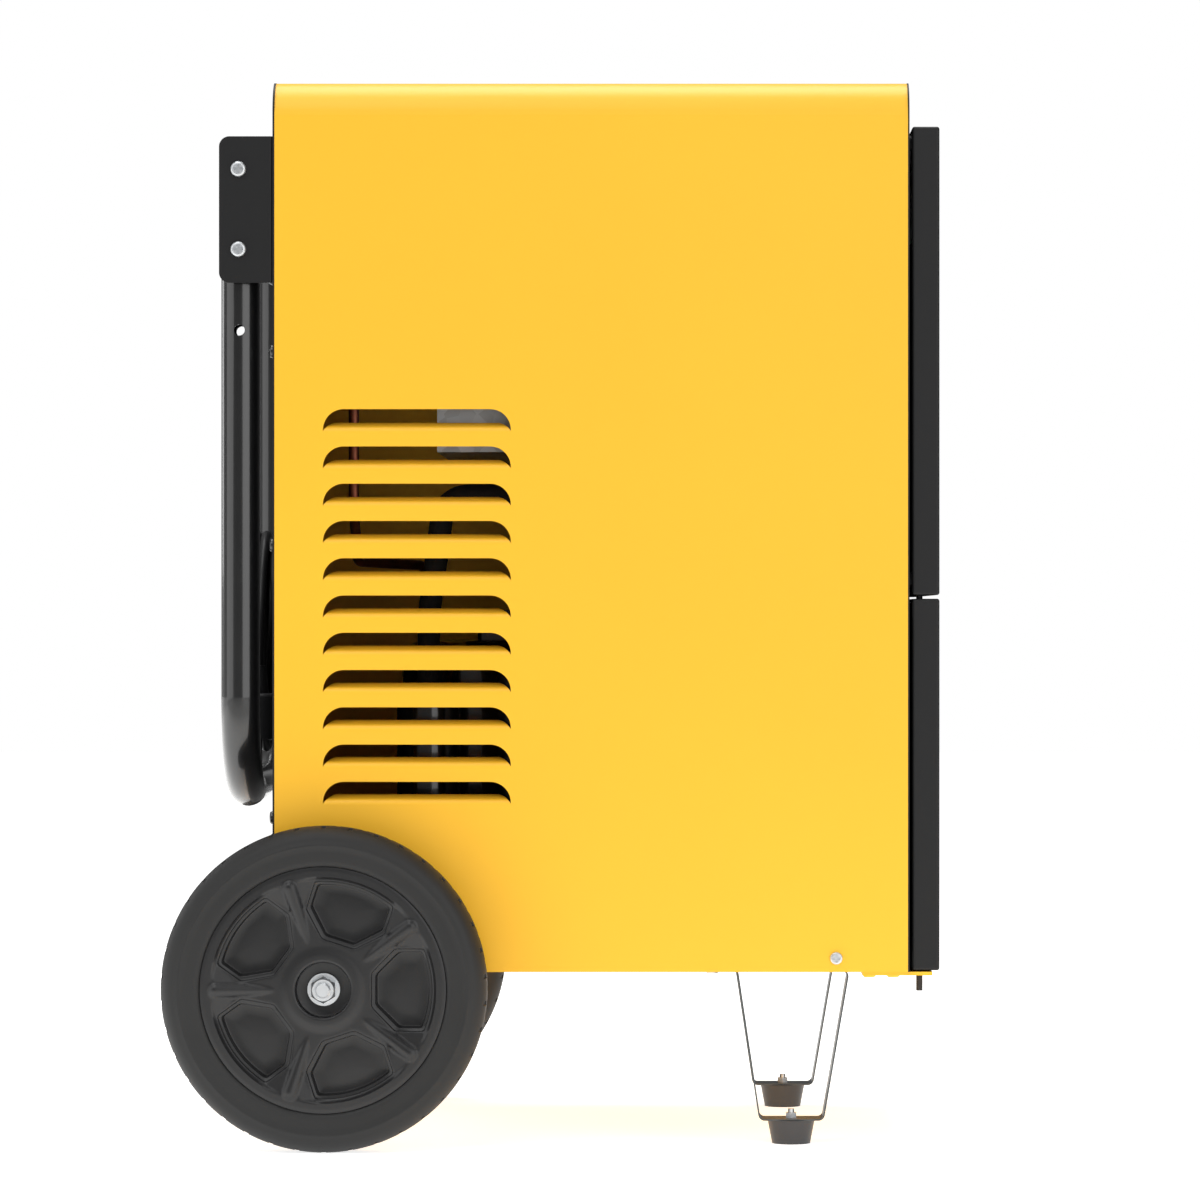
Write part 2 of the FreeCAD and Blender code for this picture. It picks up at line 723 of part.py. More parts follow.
def make_coil(name, x, depth, header_low, header_radius):
    """A pack of folded fins with end plates, return bends and an upright header on each side."""
    low = shelf_z + 30
    high = body_top - top_bend - 10
    end = coil_half
    fins = []
    for k in range(coil_fins):
        y = -end + 2 * end * k / (coil_fins - 1)
        y = max(-end, min(end - fin_sheet, y))
        fins.append(box(x - depth / 2, x + depth / 2, y, y + fin_sheet, low, high))
        if k < coil_fins - 1:
            web = x - depth / 2 if k % 2 else x + depth / 2 - fin_sheet
            fins.append(box(web, web + fin_sheet, y, y + 2 * end / (coil_fins - 1) + fin_sheet, low, high))
    plates = both_sides(box(x - depth / 2 - 2, x + depth / 2 + 2, -end - 2, -end, low, high))
    parts = fins + plates
    rows = 9
    step = (high - low) / rows
    for k in range(rows):
        z = low + step * (k + 0.5)
        out = -end - 12
        loop = tube(
            [(x - 10, -end - 1, z), (x - 10, out, z), (x + 10, out, z), (x + 10, -end - 1, z)], 9.5, 4
        )
        parts += both_sides(loop)
    header = rod(header_radius, (x, -pipe_y, header_low), (x, -pipe_y, high - 5))
    stubs = []
    for k in (3, 7):
        z = low + step * k
        stubs.append(rod(3.5, (x, -end - 1, z), (x, -pipe_y, z)))
    parts += both_sides(header)
    for stub in stubs:
        parts += both_sides(stub)
    save(name, parts[0].fuse(parts[1:]))


def make_tray():
    outer = box(coil_wall_x + 4, coil_wall_x + 120, -178, 178, shelf_z + sheet, shelf_z + 22)
    inner = box(coil_wall_x + 5.5, coil_wall_x + 118.5, -176.5, 176.5, shelf_z + sheet + 1.5, shelf_z + 23)
    spout = rod(8, (drain_x, drain_y, tank_top + 3), (drain_x, drain_y, shelf_z + sheet + 1))
    bore = rod(6.5, (drain_x, drain_y, tank_top), (drain_x, drain_y, shelf_z + 10))
    save("drip_tray", outer.cut(inner).fuse(spout).cut(bore))


def make_tank():
    front = tank_rear + tank_length
    half = tank_width / 2
    outer = box(tank_rear, front, -half, half, floor_top, tank_top)
    outer = outer.makeFillet(12, edges_along(outer, vector(0, 0, 1)))
    inner = box(
        tank_rear + tank_wall, front - tank_wall, tank_wall - half, half - tank_wall,
        floor_top + tank_wall, tank_top + 1
    )
    inner = inner.makeFillet(12 - tank_wall, edges_along(inner, vector(0, 0, 1)))
    grip = box(front - 24, front + 1, -60, 60, tank_top - 60, tank_top - 30)
    around = box(front - 24 - tank_wall, front, -60 - tank_wall, 60 + tank_wall,
                 tank_top - 60 - tank_wall, tank_top - 30 + tank_wall)
    save("condensate_tank", outer.cut(inner).fuse(around).cut(grip).removeSplitter())
    x = tank_rear + 14
    cheek = box(x - 9, x + 9, -8, -4.2, tank_top + 2, shelf_z)
    pin = rod(2, (x, -8, float_z), (x, 8, float_z))
    bridge = box(x - 9, x + 9, -4.2, 4.2, shelf_z - 3, shelf_z)
    save("float_switch", cheek.fuse([mirrored(cheek), bridge, pin]))
    arm = box(x, x + 88, -3, 3, float_z - 2, float_z + 2)
    hub = rod(4.5, (x, -3.7, float_z), (x, 3.7, float_z))
    stem = rod(3, (x + 84, 0, tank_top - 6), (x + 84, 0, float_z))
    bob = rod(18, (x + 84, 0, tank_top - 28), (x + 84, 0, tank_top - 6))
    bob = bob.makeFillet(3, bob.Edges[:1] + bob.Edges[2:])
    bore = rod(2 + running_clearance, (x, -9, float_z), (x, 9, float_z))
    save("float_arm", arm.fuse([hub, stem, bob]).cut(bore))


def make_compressor():
    low = floor_top + 22
    x = compressor_x
    r = compressor_diameter / 2
    body = rod(r, (x, 0, low), (x, 0, low + compressor_height))
    body = body.makeFillet(18, body.Edges[:1] + body.Edges[2:])
    foot = Part.makePolygon([vector(bx, by, low - 4) for bx, by in compressor_bolts + compressor_bolts[:1]])
    foot = Part.Face(foot).extrude(vector(0, 0, 4))
    for bx, by in compressor_bolts:
        foot = foot.fuse(rod(13, (bx, by, low - 4), (bx, by, low)))
    cover = box(x - 20, x + 20, -22, 22, low + compressor_height - 1, low + compressor_height + 24)
    cover = cover.makeFillet(4, edges_along(cover, vector(0, 0, 1)))
    cover.translate(vector(22, 0, 0))
    port = rod(5, (x - 38, 0, low + compressor_height - 12), (x - 38, 0, low + compressor_height + 14))
    body = body.fuse([foot, cover, port])
    body = cut_all(body, [rod(6, (bx, by, low - 5), (bx, by, low + 1)) for bx, by in compressor_bolts])
    save("compressor", body)
    grommets = []
    bolts = []
    for bx, by in compressor_bolts:
        pad = rod(11, (bx, by, floor_top), (bx, by, low - 4))
        pad = pad.fuse(rod(5.9, (bx, by, low - 4), (bx, by, low + 1)))
        grommets.append(pad.cut(rod(4, (bx, by, floor_top - 1), (bx, by, low + 2))))
        bolt = rod(4, (bx, by, body_bottom), (bx, by, low + 10))
        head = hexagon(13, (bx, by, body_bottom - 5), (0, 0, 5))
        nut = hexagon(13, (bx, by, low + 1), (0, 0, 6.5))
        bolts.append(bolt.fuse([head, nut]))
    save("compressor_grommets", *grommets)
    save("compressor_bolts", *bolts)
    ax, ay = accumulator_at
    can = rod(25, (ax, ay, low + 40), (ax, ay, low + 190))
    can = can.makeFillet(10, can.Edges[:1] + can.Edges[2:])
    elbow = tube(
        [(ax, ay, low + 41), (ax, ay, low + 15), (x - 20, -r + 12, low + 15)], 12, 6
    )
    elbow = elbow.cut(rod(r, (x, 0, low), (x, 0, low + compressor_height)))
    save("accumulator", can.fuse(elbow))


def make_pipes():
    low = floor_top + 22
    top = low + compressor_height
    ax, ay = accumulator_at
    evaporator_end = evaporator_x - evaporator_header - 0.5
    condenser_end = condenser_x - condenser_header - 0.5
    save("suction_pipe", tube([
        (ax, ay, low + 190), (ax, ay, low + 250), (ax + 15, -pipe_y + 30, suction_z),
        (ax + 110, -pipe_y, suction_z), (evaporator_end, -pipe_y, suction_z)
    ], [28, 28, 60], suction_radius))
    save("discharge_pipe", tube([
        (compressor_x - 38, 0, top + 14), (compressor_x - 38, 0, top + 60), (discharge_x, -110, top + 62),
        (discharge_x, -discharge_y, top + 100), (discharge_x, -discharge_y, discharge_z),
        (air_box_rear - 15, -pipe_y, discharge_z),
        (condenser_end, -pipe_y, discharge_z)
    ], [18, 18, 18, 16, 16], pipe_radius))
    dx = bulkhead_x - 26
    line = tube([
        (condenser_end, pipe_y, liquid_z), (dx, pipe_y, liquid_z), (dx, pipe_y, liquid_z - 50)
    ], 16, 3)
    can = rod(12, (dx, pipe_y, liquid_z - 150), (dx, pipe_y, liquid_z - 50))
    drier = can.makeFillet(6, can.Edges[:1] + can.Edges[2:])
    capillary = tube([
        (dx, pipe_y, liquid_z - 150), (dx, pipe_y, liquid_z - 170), (dx, capillary_y, liquid_z - 170),
        (dx, capillary_y, capillary_z), (evaporator_x, capillary_y, capillary_z),
        (evaporator_x, coil_half + 2, capillary_z)
    ], [8, 8, 8, 4], 1.5)
    save("liquid_line", line, drier, capillary)


def make_electrics():
    x = bulkhead_x - 86
    case = box(x, x + 76, 80, 190, floor_top + 32, floor_top + 182)
    case = case.makeFillet(3, edges_along(case, vector(0, 0, 1)))
    save("electrical_box", case.cut(box(x + 1.5, x + 74.5, 81.5, 188.5, floor_top + 33.5, floor_top + 180.5)))
    can = rod(22, (compressor_x - 10, 130, floor_top), (compressor_x - 10, 130, floor_top + 95))
    save("run_capacitor", can.makeFillet(3, can.Edges[:1]))


def make_handle():
    legs = [
        (handle_x, -leg_y, pivot_z + tube_past_pivot), (handle_x, -leg_y, grip_z),
        (handle_x, leg_y, grip_z), (handle_x, leg_y, pivot_z + tube_past_pivot)
    ]
    handle = tube(legs, handle_bend, tube_diameter / 2, tube_diameter / 2 - tube_wall)
    pivot = rod(
        handle_screw_radius + running_clearance, (handle_x, -half_width, pivot_z),
        (handle_x, half_width, pivot_z)
    )
    lock = rod(
        handle_screw_radius + 1.25, (handle_x, -half_width, pivot_z - handle_pitch),
        (handle_x, half_width, pivot_z - handle_pitch)
    )
    save("handle_tube", handle.cut(pivot).cut(lock))
    low = pivot_z - bracket_below_pivot
    high = pivot_z + bracket_above_pivot
    rear = body_rear - bracket_reach
    side = box(rear, body_rear, -bracket_outer, -bracket_inner, low, high)
    side = side.makeFillet(bracket_corner, edges_along(side, vector(0, 1, 0), lambda m: m.x < rear + 1))
    flange = box(
        body_rear - bracket_sheet, body_rear, -bracket_inner, bracket_flange - bracket_outer, low, high
    )
    plate = side.fuse(flange).removeSplitter()
    bend = edges_along(
        plate, vector(0, 0, 1), lambda m: abs(m.x - body_rear) < 0.1 and abs(m.y + bracket_outer) < 0.1
    )
    plate = plate.makeFillet(bracket_sheet, bend)
    holes = []
    for z in (pivot_z, pivot_z + handle_pitch):
        holes.append(screw_hole((handle_x, -bracket_outer, z), (0, 1, 0), handle_screw_radius))
    for z in bracket_screw_zs:
        holes.append(screw_hole((body_rear, -bracket_screw_y, z), (1, 0, 0), self_tap_radius))
    plate = cut_all(plate, holes)
    save("handle_brackets", *both_sides(plate))
    pivots = []
    locks = []
    leg_inside = leg_y - tube_diameter / 2
    leg_outside = leg_y + tube_diameter / 2
    for z, inner, group in (
        (pivot_z, leg_inside - 0.5, pivots), (pivot_z + handle_pitch, bracket_inner, locks)
    ):
        length = bracket_outer - inner + (5.5 if group is pivots else 5.2)
        screw = pan_screw(
            (handle_x, -bracket_outer, z), (0, -1, 0), handle_screw_head, 3.6, handle_screw_radius, length
        )
        nut = hexagon(10, (handle_x, -inner, z), (0, 4.8, 0)).cut(
            rod(handle_screw_radius, (handle_x, -inner - 1, z), (handle_x, -inner + 9, z))
        )
        group += both_sides(screw) + both_sides(nut)
    save("handle_screws", *pivots, *locks)
    spacer = ring(
        7, handle_screw_radius, (handle_x, -bracket_inner, pivot_z),
        (handle_x, -leg_outside - axial_play, pivot_z)
    )
    save("handle_spacers", *both_sides(spacer))


def make_axle():
    """The axle: a rod with threaded ends, each wheel between a collar inside and a washer and nut outside."""
    end = wheel_outer - 1.5
    shoulder = wheel_outer - hub_recess_depth + axial_play
    axle = rod(axle_diameter / 2, (wheel_x, -shoulder, axle_height), (wheel_x, shoulder, axle_height))
    thread = rod(thread_diameter / 2, (wheel_x, -end, axle_height), (wheel_x, end, axle_height))
    thread = thread.makeChamfer(1.2, thread.Edges[:1] + thread.Edges[2:])
    save("axle", axle.fuse(thread).removeSplitter())
    carrier = box(wheel_x - 30, wheel_x + 30, -165, -140, axle_height - 14, body_bottom)
    carrier = carrier.makeFillet(8, edges_along(carrier, vector(0, 1, 0), lambda m: m.z < axle_height))
    bore = rod(axle_diameter / 2, (wheel_x, -170, axle_height), (wheel_x, -130, axle_height))
    save("axle_carriers", *both_sides(carrier.cut(bore)))
    washer = ring(
        washer_diameter / 2, thread_diameter / 2, (wheel_x, -shoulder, axle_height),
        (wheel_x, -shoulder - washer_thickness, axle_height)
    )
    collar = ring(
        13, axle_diameter / 2, (wheel_x, axial_play - wheel_inner, axle_height),
        (wheel_x, -half_width - collar_gap, axle_height)
    )
    save("axle_collars", *both_sides(washer), *both_sides(collar))
    nut_at = shoulder + washer_thickness
    nut = hexagon(nut_flats, (wheel_x, -nut_at, axle_height), (0, -nut_height, 0))
    round_off = Part.makeCone(
        nut_flats * 0.75, nut_flats * 0.46, nut_height, vector(wheel_x, -nut_at, axle_height),
        vector(0, -1, 0)
    )
    bore = rod(
        thread_diameter / 2, (wheel_x, -wheel_outer - 5, axle_height), (wheel_x, -nut_at + 1, axle_height)
    )
    save("axle_nuts", *both_sides(nut.common(round_off).cut(bore)))


def wheel_turned(points):
    """A solid turned about the axle. Points are radius and distance outward from the wheel's inner face."""
    corners = [vector(wheel_x + r, -wheel_inner - y, axle_height) for r, y in points]
    outline = Part.Face(Part.makePolygon(corners + corners[:1]))
    return outline.revolve(vector(wheel_x, 0, axle_height), vector(0, 1, 0), 360)


def pocket(grow, low, high):
    """A cutter for one pocket between two spokes, on the +X axis, between two distances outward."""
    points = [(40 - 1.2 * grow, 11.5 + 0.6 * grow), (57.5 - grow, 29 + grow), (76 + 0.7 * grow, 29 + grow)]

    def at(u, v):
        return vector(wheel_x + u, -wheel_inner - low, axle_height + v)

    upper = [at(u, v) for u, v in points]
    lower = [at(u, -v) for u, v in points]
    edges = [Part.makeLine(a, b) for a, b in zip(upper, upper[1:])]
    edges.append(Part.Arc(upper[-1], at(81 + grow, 0), lower[-1]).toShape())
    edges += [Part.makeLine(a, b) for a, b in zip(lower, lower[1:])]
    edges.append(Part.makeLine(lower[0], upper[0]))
    outline = Part.Wire(Part.__sortEdges__(edges))
    return Part.Face(outline).extrude(vector(0, low - high, 0))


def make_wheels():
    bore = axle_diameter / 2 + running_clearance
    w = wheel_width
    recess = w - hub_recess_depth
    hub = hub_recess_radius
    rim = wheel_turned([
        (bore, 0), (30, 0), (34, 17), (76, 17), (80, 4), (rim_radius, 4), (rim_radius, w - 4),
        (rim_radius - 2.5, w - 3.4), (rim_radius - 8, w - 3.4), (rim_radius - 10, w - 6.5), (60, w - 7),
        (30, w - 6), (hub + 1, w - 6), (hub, w - 7), (hub, recess), (bore, recess)
    ])
    cutters = []
    ribs = []
    centre = vector(wheel_x, 0, axle_height)
    axis = vector(0, 1, 0)
    for k in range(spokes):
        for grow, low in ((2.5, w - 9.5), (0, w - 22)):
            cutter = pocket(grow, low, w + 1)
            cutter.rotate(centre, axis, 360 / spokes * k)
            cutters.append(cutter)
        start = vector(wheel_x + 34, -wheel_inner - w + 10.5, axle_height)
        end = vector(wheel_x + rim_radius - 12.2, -wheel_inner - w + 6.7, axle_height)
        rib = Part.makeCone(3, 6, (end - start).Length, start, end - start).fuse(Part.makeSphere(6, end))
        rib.rotate(centre, axis, 360 / spokes * (k + 0.5))
        ribs.append(rib)
    rim = cut_all(rim, cutters).fuse(ribs)
    save("rim_right", rim)
    save("rim_left", mirrored(rim))
    r = wheel_diameter / 2
    side = [
        (rim_radius, w - 4), (rim_radius + 2.5, w - 1.6), (r - 15.5, w - 0.6), (r - 14.5, w), (r - 13, w),
        (r - 9.5, w - 1.2), (r - 6, w - 3.6), (r - 3, w - 7), (r - 0.8, w - 11), (r, w - 14.5)
    ]
    tyre = wheel_turned(side + [(radius, w - y) for radius, y in reversed(side)])
    grooves = []
    pitch = 360 / tread_blocks
    for k in range(tread_blocks):
        for turn, side_end, middle in ((0, -1, w / 2 - 4), (0.5, w / 2 + 4, w + 1)):
            groove = box(
                wheel_x + r - tread_depth, wheel_x + r + 2, -wheel_inner - middle, -wheel_inner - side_end,
                axle_height - tread_gap / 2, axle_height + tread_gap / 2
            )
            groove.rotate(centre, axis, pitch * (k + turn))
            grooves.append(groove)
    tyre = cut_all(tyre, grooves)
    save("tyre_right", tyre)
    save("tyre_left", mirrored(tyre))


def make_feet():
    plate = foot_height + strap_sheet
    back, front = foot_legs
    low_back, low_front = foot_plate
    bracket = strap([
        (foot_weld_x - 11, body_bottom), (front, body_bottom),
        (low_front, foot_height), (low_back, foot_height), (back, body_bottom - strap_sheet),
        (foot_screw_x - 10, body_bottom - strap_sheet)
    ], -strap_sheet, strap_width, -foot_centre_y, 4)
    holes = [rod(2.6, (foot_x, -foot_centre_y, 10), (foot_x, -foot_centre_y, 30))]
    holes.append(screw_hole((foot_screw_x, -foot_centre_y, body_bottom), (0, 0, 1), 2.5))
    save("foot_brackets", *both_sides(cut_all(bracket, holes)))
    screw = pan_screw(
        (foot_screw_x, -foot_centre_y, body_bottom - strap_sheet), (0, 0, -1), pan_head_radius,
        pan_head_height, 2.5, strap_sheet + base_sheet
    )
    screws = both_sides(screw)
    pad = Part.makeCone(
        foot_sole_diameter / 2, foot_top_diameter / 2, foot_height, vector(foot_x, -foot_centre_y, 0)
    )
    pad = pad.cut(rod(6, (foot_x, -foot_centre_y, -1), (foot_x, -foot_centre_y, 5)))
    pad = pad.cut(rod(2.5, (foot_x, -foot_centre_y, -1), (foot_x, -foot_centre_y, foot_height + 1)))
    save("foot_pads", *both_sides(pad))
    screw = pan_screw(
        (foot_x, -foot_centre_y, 5), (0, 0, -1), pan_head_radius, pan_head_height, 2.5, plate + 2
    )
    nut = hexagon(8, (foot_x, -foot_centre_y, plate), (0, 0, 4)).cut(
        rod(2.5, (foot_x, -foot_centre_y, plate - 1), (foot_x, -foot_centre_y, plate + 5))
    )
    save("foot_screws", *screws, *both_sides(screw), *both_sides(nut))


def make_screws():
    cover = pan_screw(
        (cover_screw_x, -half_width, cover_screw_z), (0, -1, 0), pan_head_radius, pan_head_height,
        self_tap_radius, 9
    )
    save("side_screws", *both_sides(cover))
    rear = []
    for z in rear_screw_zs:
        rear += both_sides(pan_screw(
            (body_rear, -rear_screw_y, z), (-1, 0, 0), pan_head_radius, pan_head_height, self_tap_radius, 9
        ))
    for z in bracket_screw_zs:
        rear += both_sides(pan_screw(
            (body_rear - bracket_sheet, -bracket_screw_y, z), (-1, 0, 0), pan_head_radius, pan_head_height,
            self_tap_radius, 12
        ))
    save("rear_screws", *rear)


def cord_route(side, low):
    """Where the cord runs beside the coil, from its upper end at the coil down to a height."""
    shifts = [(49, 68), (57, 44), (73, 23), (86, 1), (cord_end_y + 0.3, -22)]
    points = [(cord_x, side * y, coil_z + z) for y, z in shifts if coil_z + z > low + 15]
    points.append((cord_x, side * cord_end_y, low))
    return points


def bend_radii(points):
    """The largest arcs that the runs of a cord leave room for."""
    radii = []
    for a, b, c in zip(points, points[1:], points[2:]):
        a, b, c = vector(*a), vector(*b), vector(*c)
        turn = (b - a).getAngle(c - b)
        radii.append(0.45 * min((b - a).Length, (c - b).Length) / math.tan(turn / 2))
    return radii


def stadium(half_tall, half_wide, x0, x1):
    """An upright oval with straight sides, standing across X."""
    straight = half_tall - half_wide
    middle = box(x0, x1, -half_wide, half_wide, coil_z - straight, coil_z + straight)
    ends = [rod(half_wide, (x0, 0, coil_z + s * straight), (x1, 0, coil_z + s * straight)) for s in (-1, 1)]
    return middle.fuse(ends).removeSplitter()


def make_cord():
    """The mains cord: an elbow gland, the coiled length on its hook, and the plug that hangs beside it."""
    back, front = cord_x - coil_bundle / 2, cord_x + coil_bundle / 2
    coil = stadium(coil_half_tall, coil_half_wide, back, front)
    coil = coil.cut(stadium(coil_half_tall - coil_bundle, coil_half_wide - coil_bundle, back - 1, front + 1))
    coil = coil.makeFillet(coil_bundle / 3, [e for e in coil.Edges if e.BoundBox.XLength < 0.01])
    save("cord_coil", coil)
    runs = []
    for side, low in ((1, gland_top), (-1, plug_top)):
        route = cord_route(side, low)
        radii = bend_radii(route)
        print("cord bends", [round(r) for r in radii])
        run = tube(route, radii, cord_diameter / 2)
        path = bent_path(route, radii)
        section = math.pi * cord_diameter ** 2 / 4
        print("cord volume over section times length", run.Volume / (path.Length * section))
        runs.append(run.cut(coil))
    y = cord_end_y
    elbow = tube([(body_rear, y, gland_z), (cord_x, y, gland_z), (cord_x, y, gland_top)], 10, 9)
    flange = rod(14, (body_rear - 3, y, gland_z), (body_rear, y, gland_z))
    thread = rod(gland_thread_radius, (body_rear, y, gland_z), (body_rear + 10, y, gland_z))
    nut = rod(12, (shell_rear, y, gland_z), (shell_rear + 5, y, gland_z))
    gland = elbow.fuse([flange, thread, nut])
    save("cable_gland", gland)
    sleeve = Part.makeCone(6, 8.5, 22, vector(cord_x, -y, plug_top), vector(0, 0, -1))
    body = rod(plug_radius, (cord_x, -y, plug_top - 22), (cord_x, -y, plug_top - 58))
    body = body.makeFillet(4, [e for e in body.Edges if e.CenterOfMass.z > plug_top - 24])
    pins = []
    for dy in (-9.5, 9.5):
        pin = rod(2.4, (cord_x, dy - y, plug_top - 58), (cord_x, dy - y, plug_top - 77))
        pins.append(pin.makeFillet(1.5, [e for e in pin.Edges if e.CenterOfMass.z < plug_top - 76.9]))
    plug = sleeve.fuse([body] + pins)
    save("mains_plug", plug)
    ends = Part.makeCompound([gland, plug])
    save("mains_cord", *[max(run.cut(ends).Solids, key=lambda s: s.Volume) for run in runs])
    inner_top = coil_z + coil_half_tall - coil_bundle - 0.5
    plate = box(body_rear - 2, body_rear, -15, 15, inner_top - 45, inner_top - 0.5)
    arm = box(back - 9, body_rear - 2, -6, 6, inner_top - 4.5, inner_top - 0.5)
    tip = box(back - 9, back - 5, -6, 6, inner_top - 0.5, inner_top + 18)
    hook = plate.fuse([arm, tip]).removeSplitter()
    corner = edges_along(hook, vector(0, 1, 0), lambda m: m.x < back - 8 and m.z < inner_top)
    save("cord_hook", hook.makeFillet(3, corner))


os.makedirs("parts", exist_ok=True)
make_shell()
make_base()
make_sill()
make_rear_panel()
make_front_frame()
make_grille()
make_filter()
make_door()
make_controls()
make_bay()
make_air_box()
make_coil("evaporator_coil", evaporator_x, 44, shelf_z + 45, evaporator_header)
make_coil("condenser_coil", condenser_x, 40, shelf_z + 105, condenser_header)
make_tray()
make_tank()
make_compressor()
make_pipes()
make_electrics()
make_handle()
make_axle()
make_wheels()
make_feet()
make_screws()
make_cord()
print(len(written), "nodes")
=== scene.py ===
"""A commercial dehumidifier on wheels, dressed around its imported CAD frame."""

import json
import math
import random

import bmesh
import bpy
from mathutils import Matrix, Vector, geometry


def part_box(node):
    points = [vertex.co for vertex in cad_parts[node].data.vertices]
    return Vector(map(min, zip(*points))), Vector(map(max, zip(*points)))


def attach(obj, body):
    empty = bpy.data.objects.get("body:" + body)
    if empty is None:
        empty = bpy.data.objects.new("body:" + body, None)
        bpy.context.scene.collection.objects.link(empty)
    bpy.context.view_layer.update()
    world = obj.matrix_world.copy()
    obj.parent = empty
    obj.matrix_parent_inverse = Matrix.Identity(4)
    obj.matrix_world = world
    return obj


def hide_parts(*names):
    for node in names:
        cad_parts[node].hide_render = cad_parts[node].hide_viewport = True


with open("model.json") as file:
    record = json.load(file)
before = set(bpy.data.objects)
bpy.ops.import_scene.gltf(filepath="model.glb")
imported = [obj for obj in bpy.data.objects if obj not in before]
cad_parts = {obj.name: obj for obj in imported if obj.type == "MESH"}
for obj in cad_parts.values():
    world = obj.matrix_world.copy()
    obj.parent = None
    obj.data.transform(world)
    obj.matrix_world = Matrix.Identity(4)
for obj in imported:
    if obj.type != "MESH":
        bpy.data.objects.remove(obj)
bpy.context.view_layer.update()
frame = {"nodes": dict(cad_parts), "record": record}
NODES = frame["nodes"]

bl_info = {
    "name": "Commercial Dehumidifier",
    "version": (1, 0, 0),
    "blender": (4, 5, 0),
    "location": "View3D > Sidebar > Dehumidifier",
    "description": "Finishes, wheels, mains cord and studio for a wheeled dehumidifier",
    "category": "Add Mesh",
}

MM = 0.001


# ---------------------------------------------------------------- materials

def linear(hex_colour):
    """An sRGB hex colour as linear red, green, blue and alpha."""
    channels = [int(hex_colour[k:k + 2], 16) / 255 for k in (1, 3, 5)]
    return tuple(c / 12.92 if c < 0.04045 else ((c + 0.055) / 1.055) ** 2.4 for c in channels) + (1,)


def add_node(tree, kind, sockets=None, **settings):
    """Adds a node. Each entry in sockets sets an input, to a value or to another node's output."""
    node = tree.nodes.new(kind)
    for name, value in settings.items():
        setattr(node, name, value)
    for name, value in (sockets or {}).items():
        if isinstance(value, bpy.types.NodeSocket):
            tree.links.new(value, node.inputs[name])
        else:
            node.inputs[name].default_value = value
    return node


def start_material(name):
    """A new node material: its tree, its shader and coordinates in metres."""
    material = bpy.data.materials.new(name)
    material.use_nodes = True
    tree = material.node_tree
    shader = tree.nodes["Principled BSDF"]
    place = add_node(tree, "ShaderNodeTexCoord").outputs["Object"]
    return material, tree, shader, place


def per_metre(size_mm):
    """The scale that makes a noise or cell pattern's features this many millimetres wide."""
    return 1000 / size_mm


def tint(tree, colour, share, factor):
    """A colour that drifts a share darker and lighter with a factor from 0 to 1."""
    dark = [c * (1 - share) for c in colour[:3]] + [1]
    light = [min(1, c * (1 + share)) for c in colour[:3]] + [1]
    ramp = add_node(tree, "ShaderNodeValToRGB", {"Fac": factor})
    ramp.color_ramp.elements[0].color = dark
    ramp.color_ramp.elements[0].position = 0.3
    ramp.color_ramp.elements[1].color = light
    ramp.color_ramp.elements[1].position = 0.7
    return ramp.outputs["Color"]


def spread(tree, factor, low, high):
    """Maps a factor from 0..1 to a range."""
    sockets = {"Value": factor, "To Min": low, "To Max": high}
    return add_node(tree, "ShaderNodeMapRange", sockets).outputs["Result"]


def bumped(tree, height, depth_mm, strength=1.0, normal=None):
    """The normal of a surface that rises by a depth where height is 1."""
    sockets = {"Height": height, "Distance": depth_mm * MM, "Strength": strength}
    if normal:
        sockets["Normal"] = normal
    return add_node(tree, "ShaderNodeBump", sockets).outputs["Normal"]


def powder_coat(name, colour, roughness, peel_mm, peel_depth_mm, grit_mm, grit_depth_mm, level=0.5):
    """Baked powder coat: an orange-peel swell with a finer grit in it, and a soft satin gloss."""
    material, tree, shader, place = start_material(name)
    peel = add_node(tree, "ShaderNodeTexNoise", {"Vector": place, "Scale": per_metre(peel_mm), "Detail": 1})
    grit = add_node(tree, "ShaderNodeTexNoise", {"Vector": place, "Scale": per_metre(grit_mm), "Detail": 2})
    cloud = add_node(tree, "ShaderNodeTexNoise", {"Vector": place, "Scale": per_metre(240), "Detail": 1})
    tree.links.new(tint(tree, colour, 0.015, cloud.outputs["Fac"]), shader.inputs["Base Color"])
    tree.links.new(
        spread(tree, grit.outputs["Fac"], roughness - 0.05, roughness + 0.05), shader.inputs["Roughness"]
    )
    swell = bumped(tree, peel.outputs["Fac"], peel_depth_mm, 0.5)
    tree.links.new(
        bumped(tree, grit.outputs["Fac"], grit_depth_mm, 0.5, swell), shader.inputs["Normal"]
    )
    shader.inputs["Specular IOR Level"].default_value = level
    return material


def moulded(name, colour, roughness, grain_mm, grain_depth_mm, level=0.4):
    """A moulded surface: a spark-eroded grain of small cells, slightly uneven in gloss."""
    material, tree, shader, place = start_material(name)
    grain = add_node(tree, "ShaderNodeTexVoronoi", {"Vector": place, "Scale": per_metre(grain_mm)})
    cloud = add_node(tree, "ShaderNodeTexNoise", {"Vector": place, "Scale": per_metre(38), "Detail": 3})
    tree.links.new(tint(tree, colour, 0.06, cloud.outputs["Fac"]), shader.inputs["Base Color"])
    tree.links.new(
        spread(tree, cloud.outputs["Fac"], roughness - 0.07, roughness + 0.07), shader.inputs["Roughness"]
    )
    tree.links.new(
        bumped(tree, grain.outputs["Distance"], grain_depth_mm, 0.6), shader.inputs["Normal"]
    )
    shader.inputs["Specular IOR Level"].default_value = level
    return material


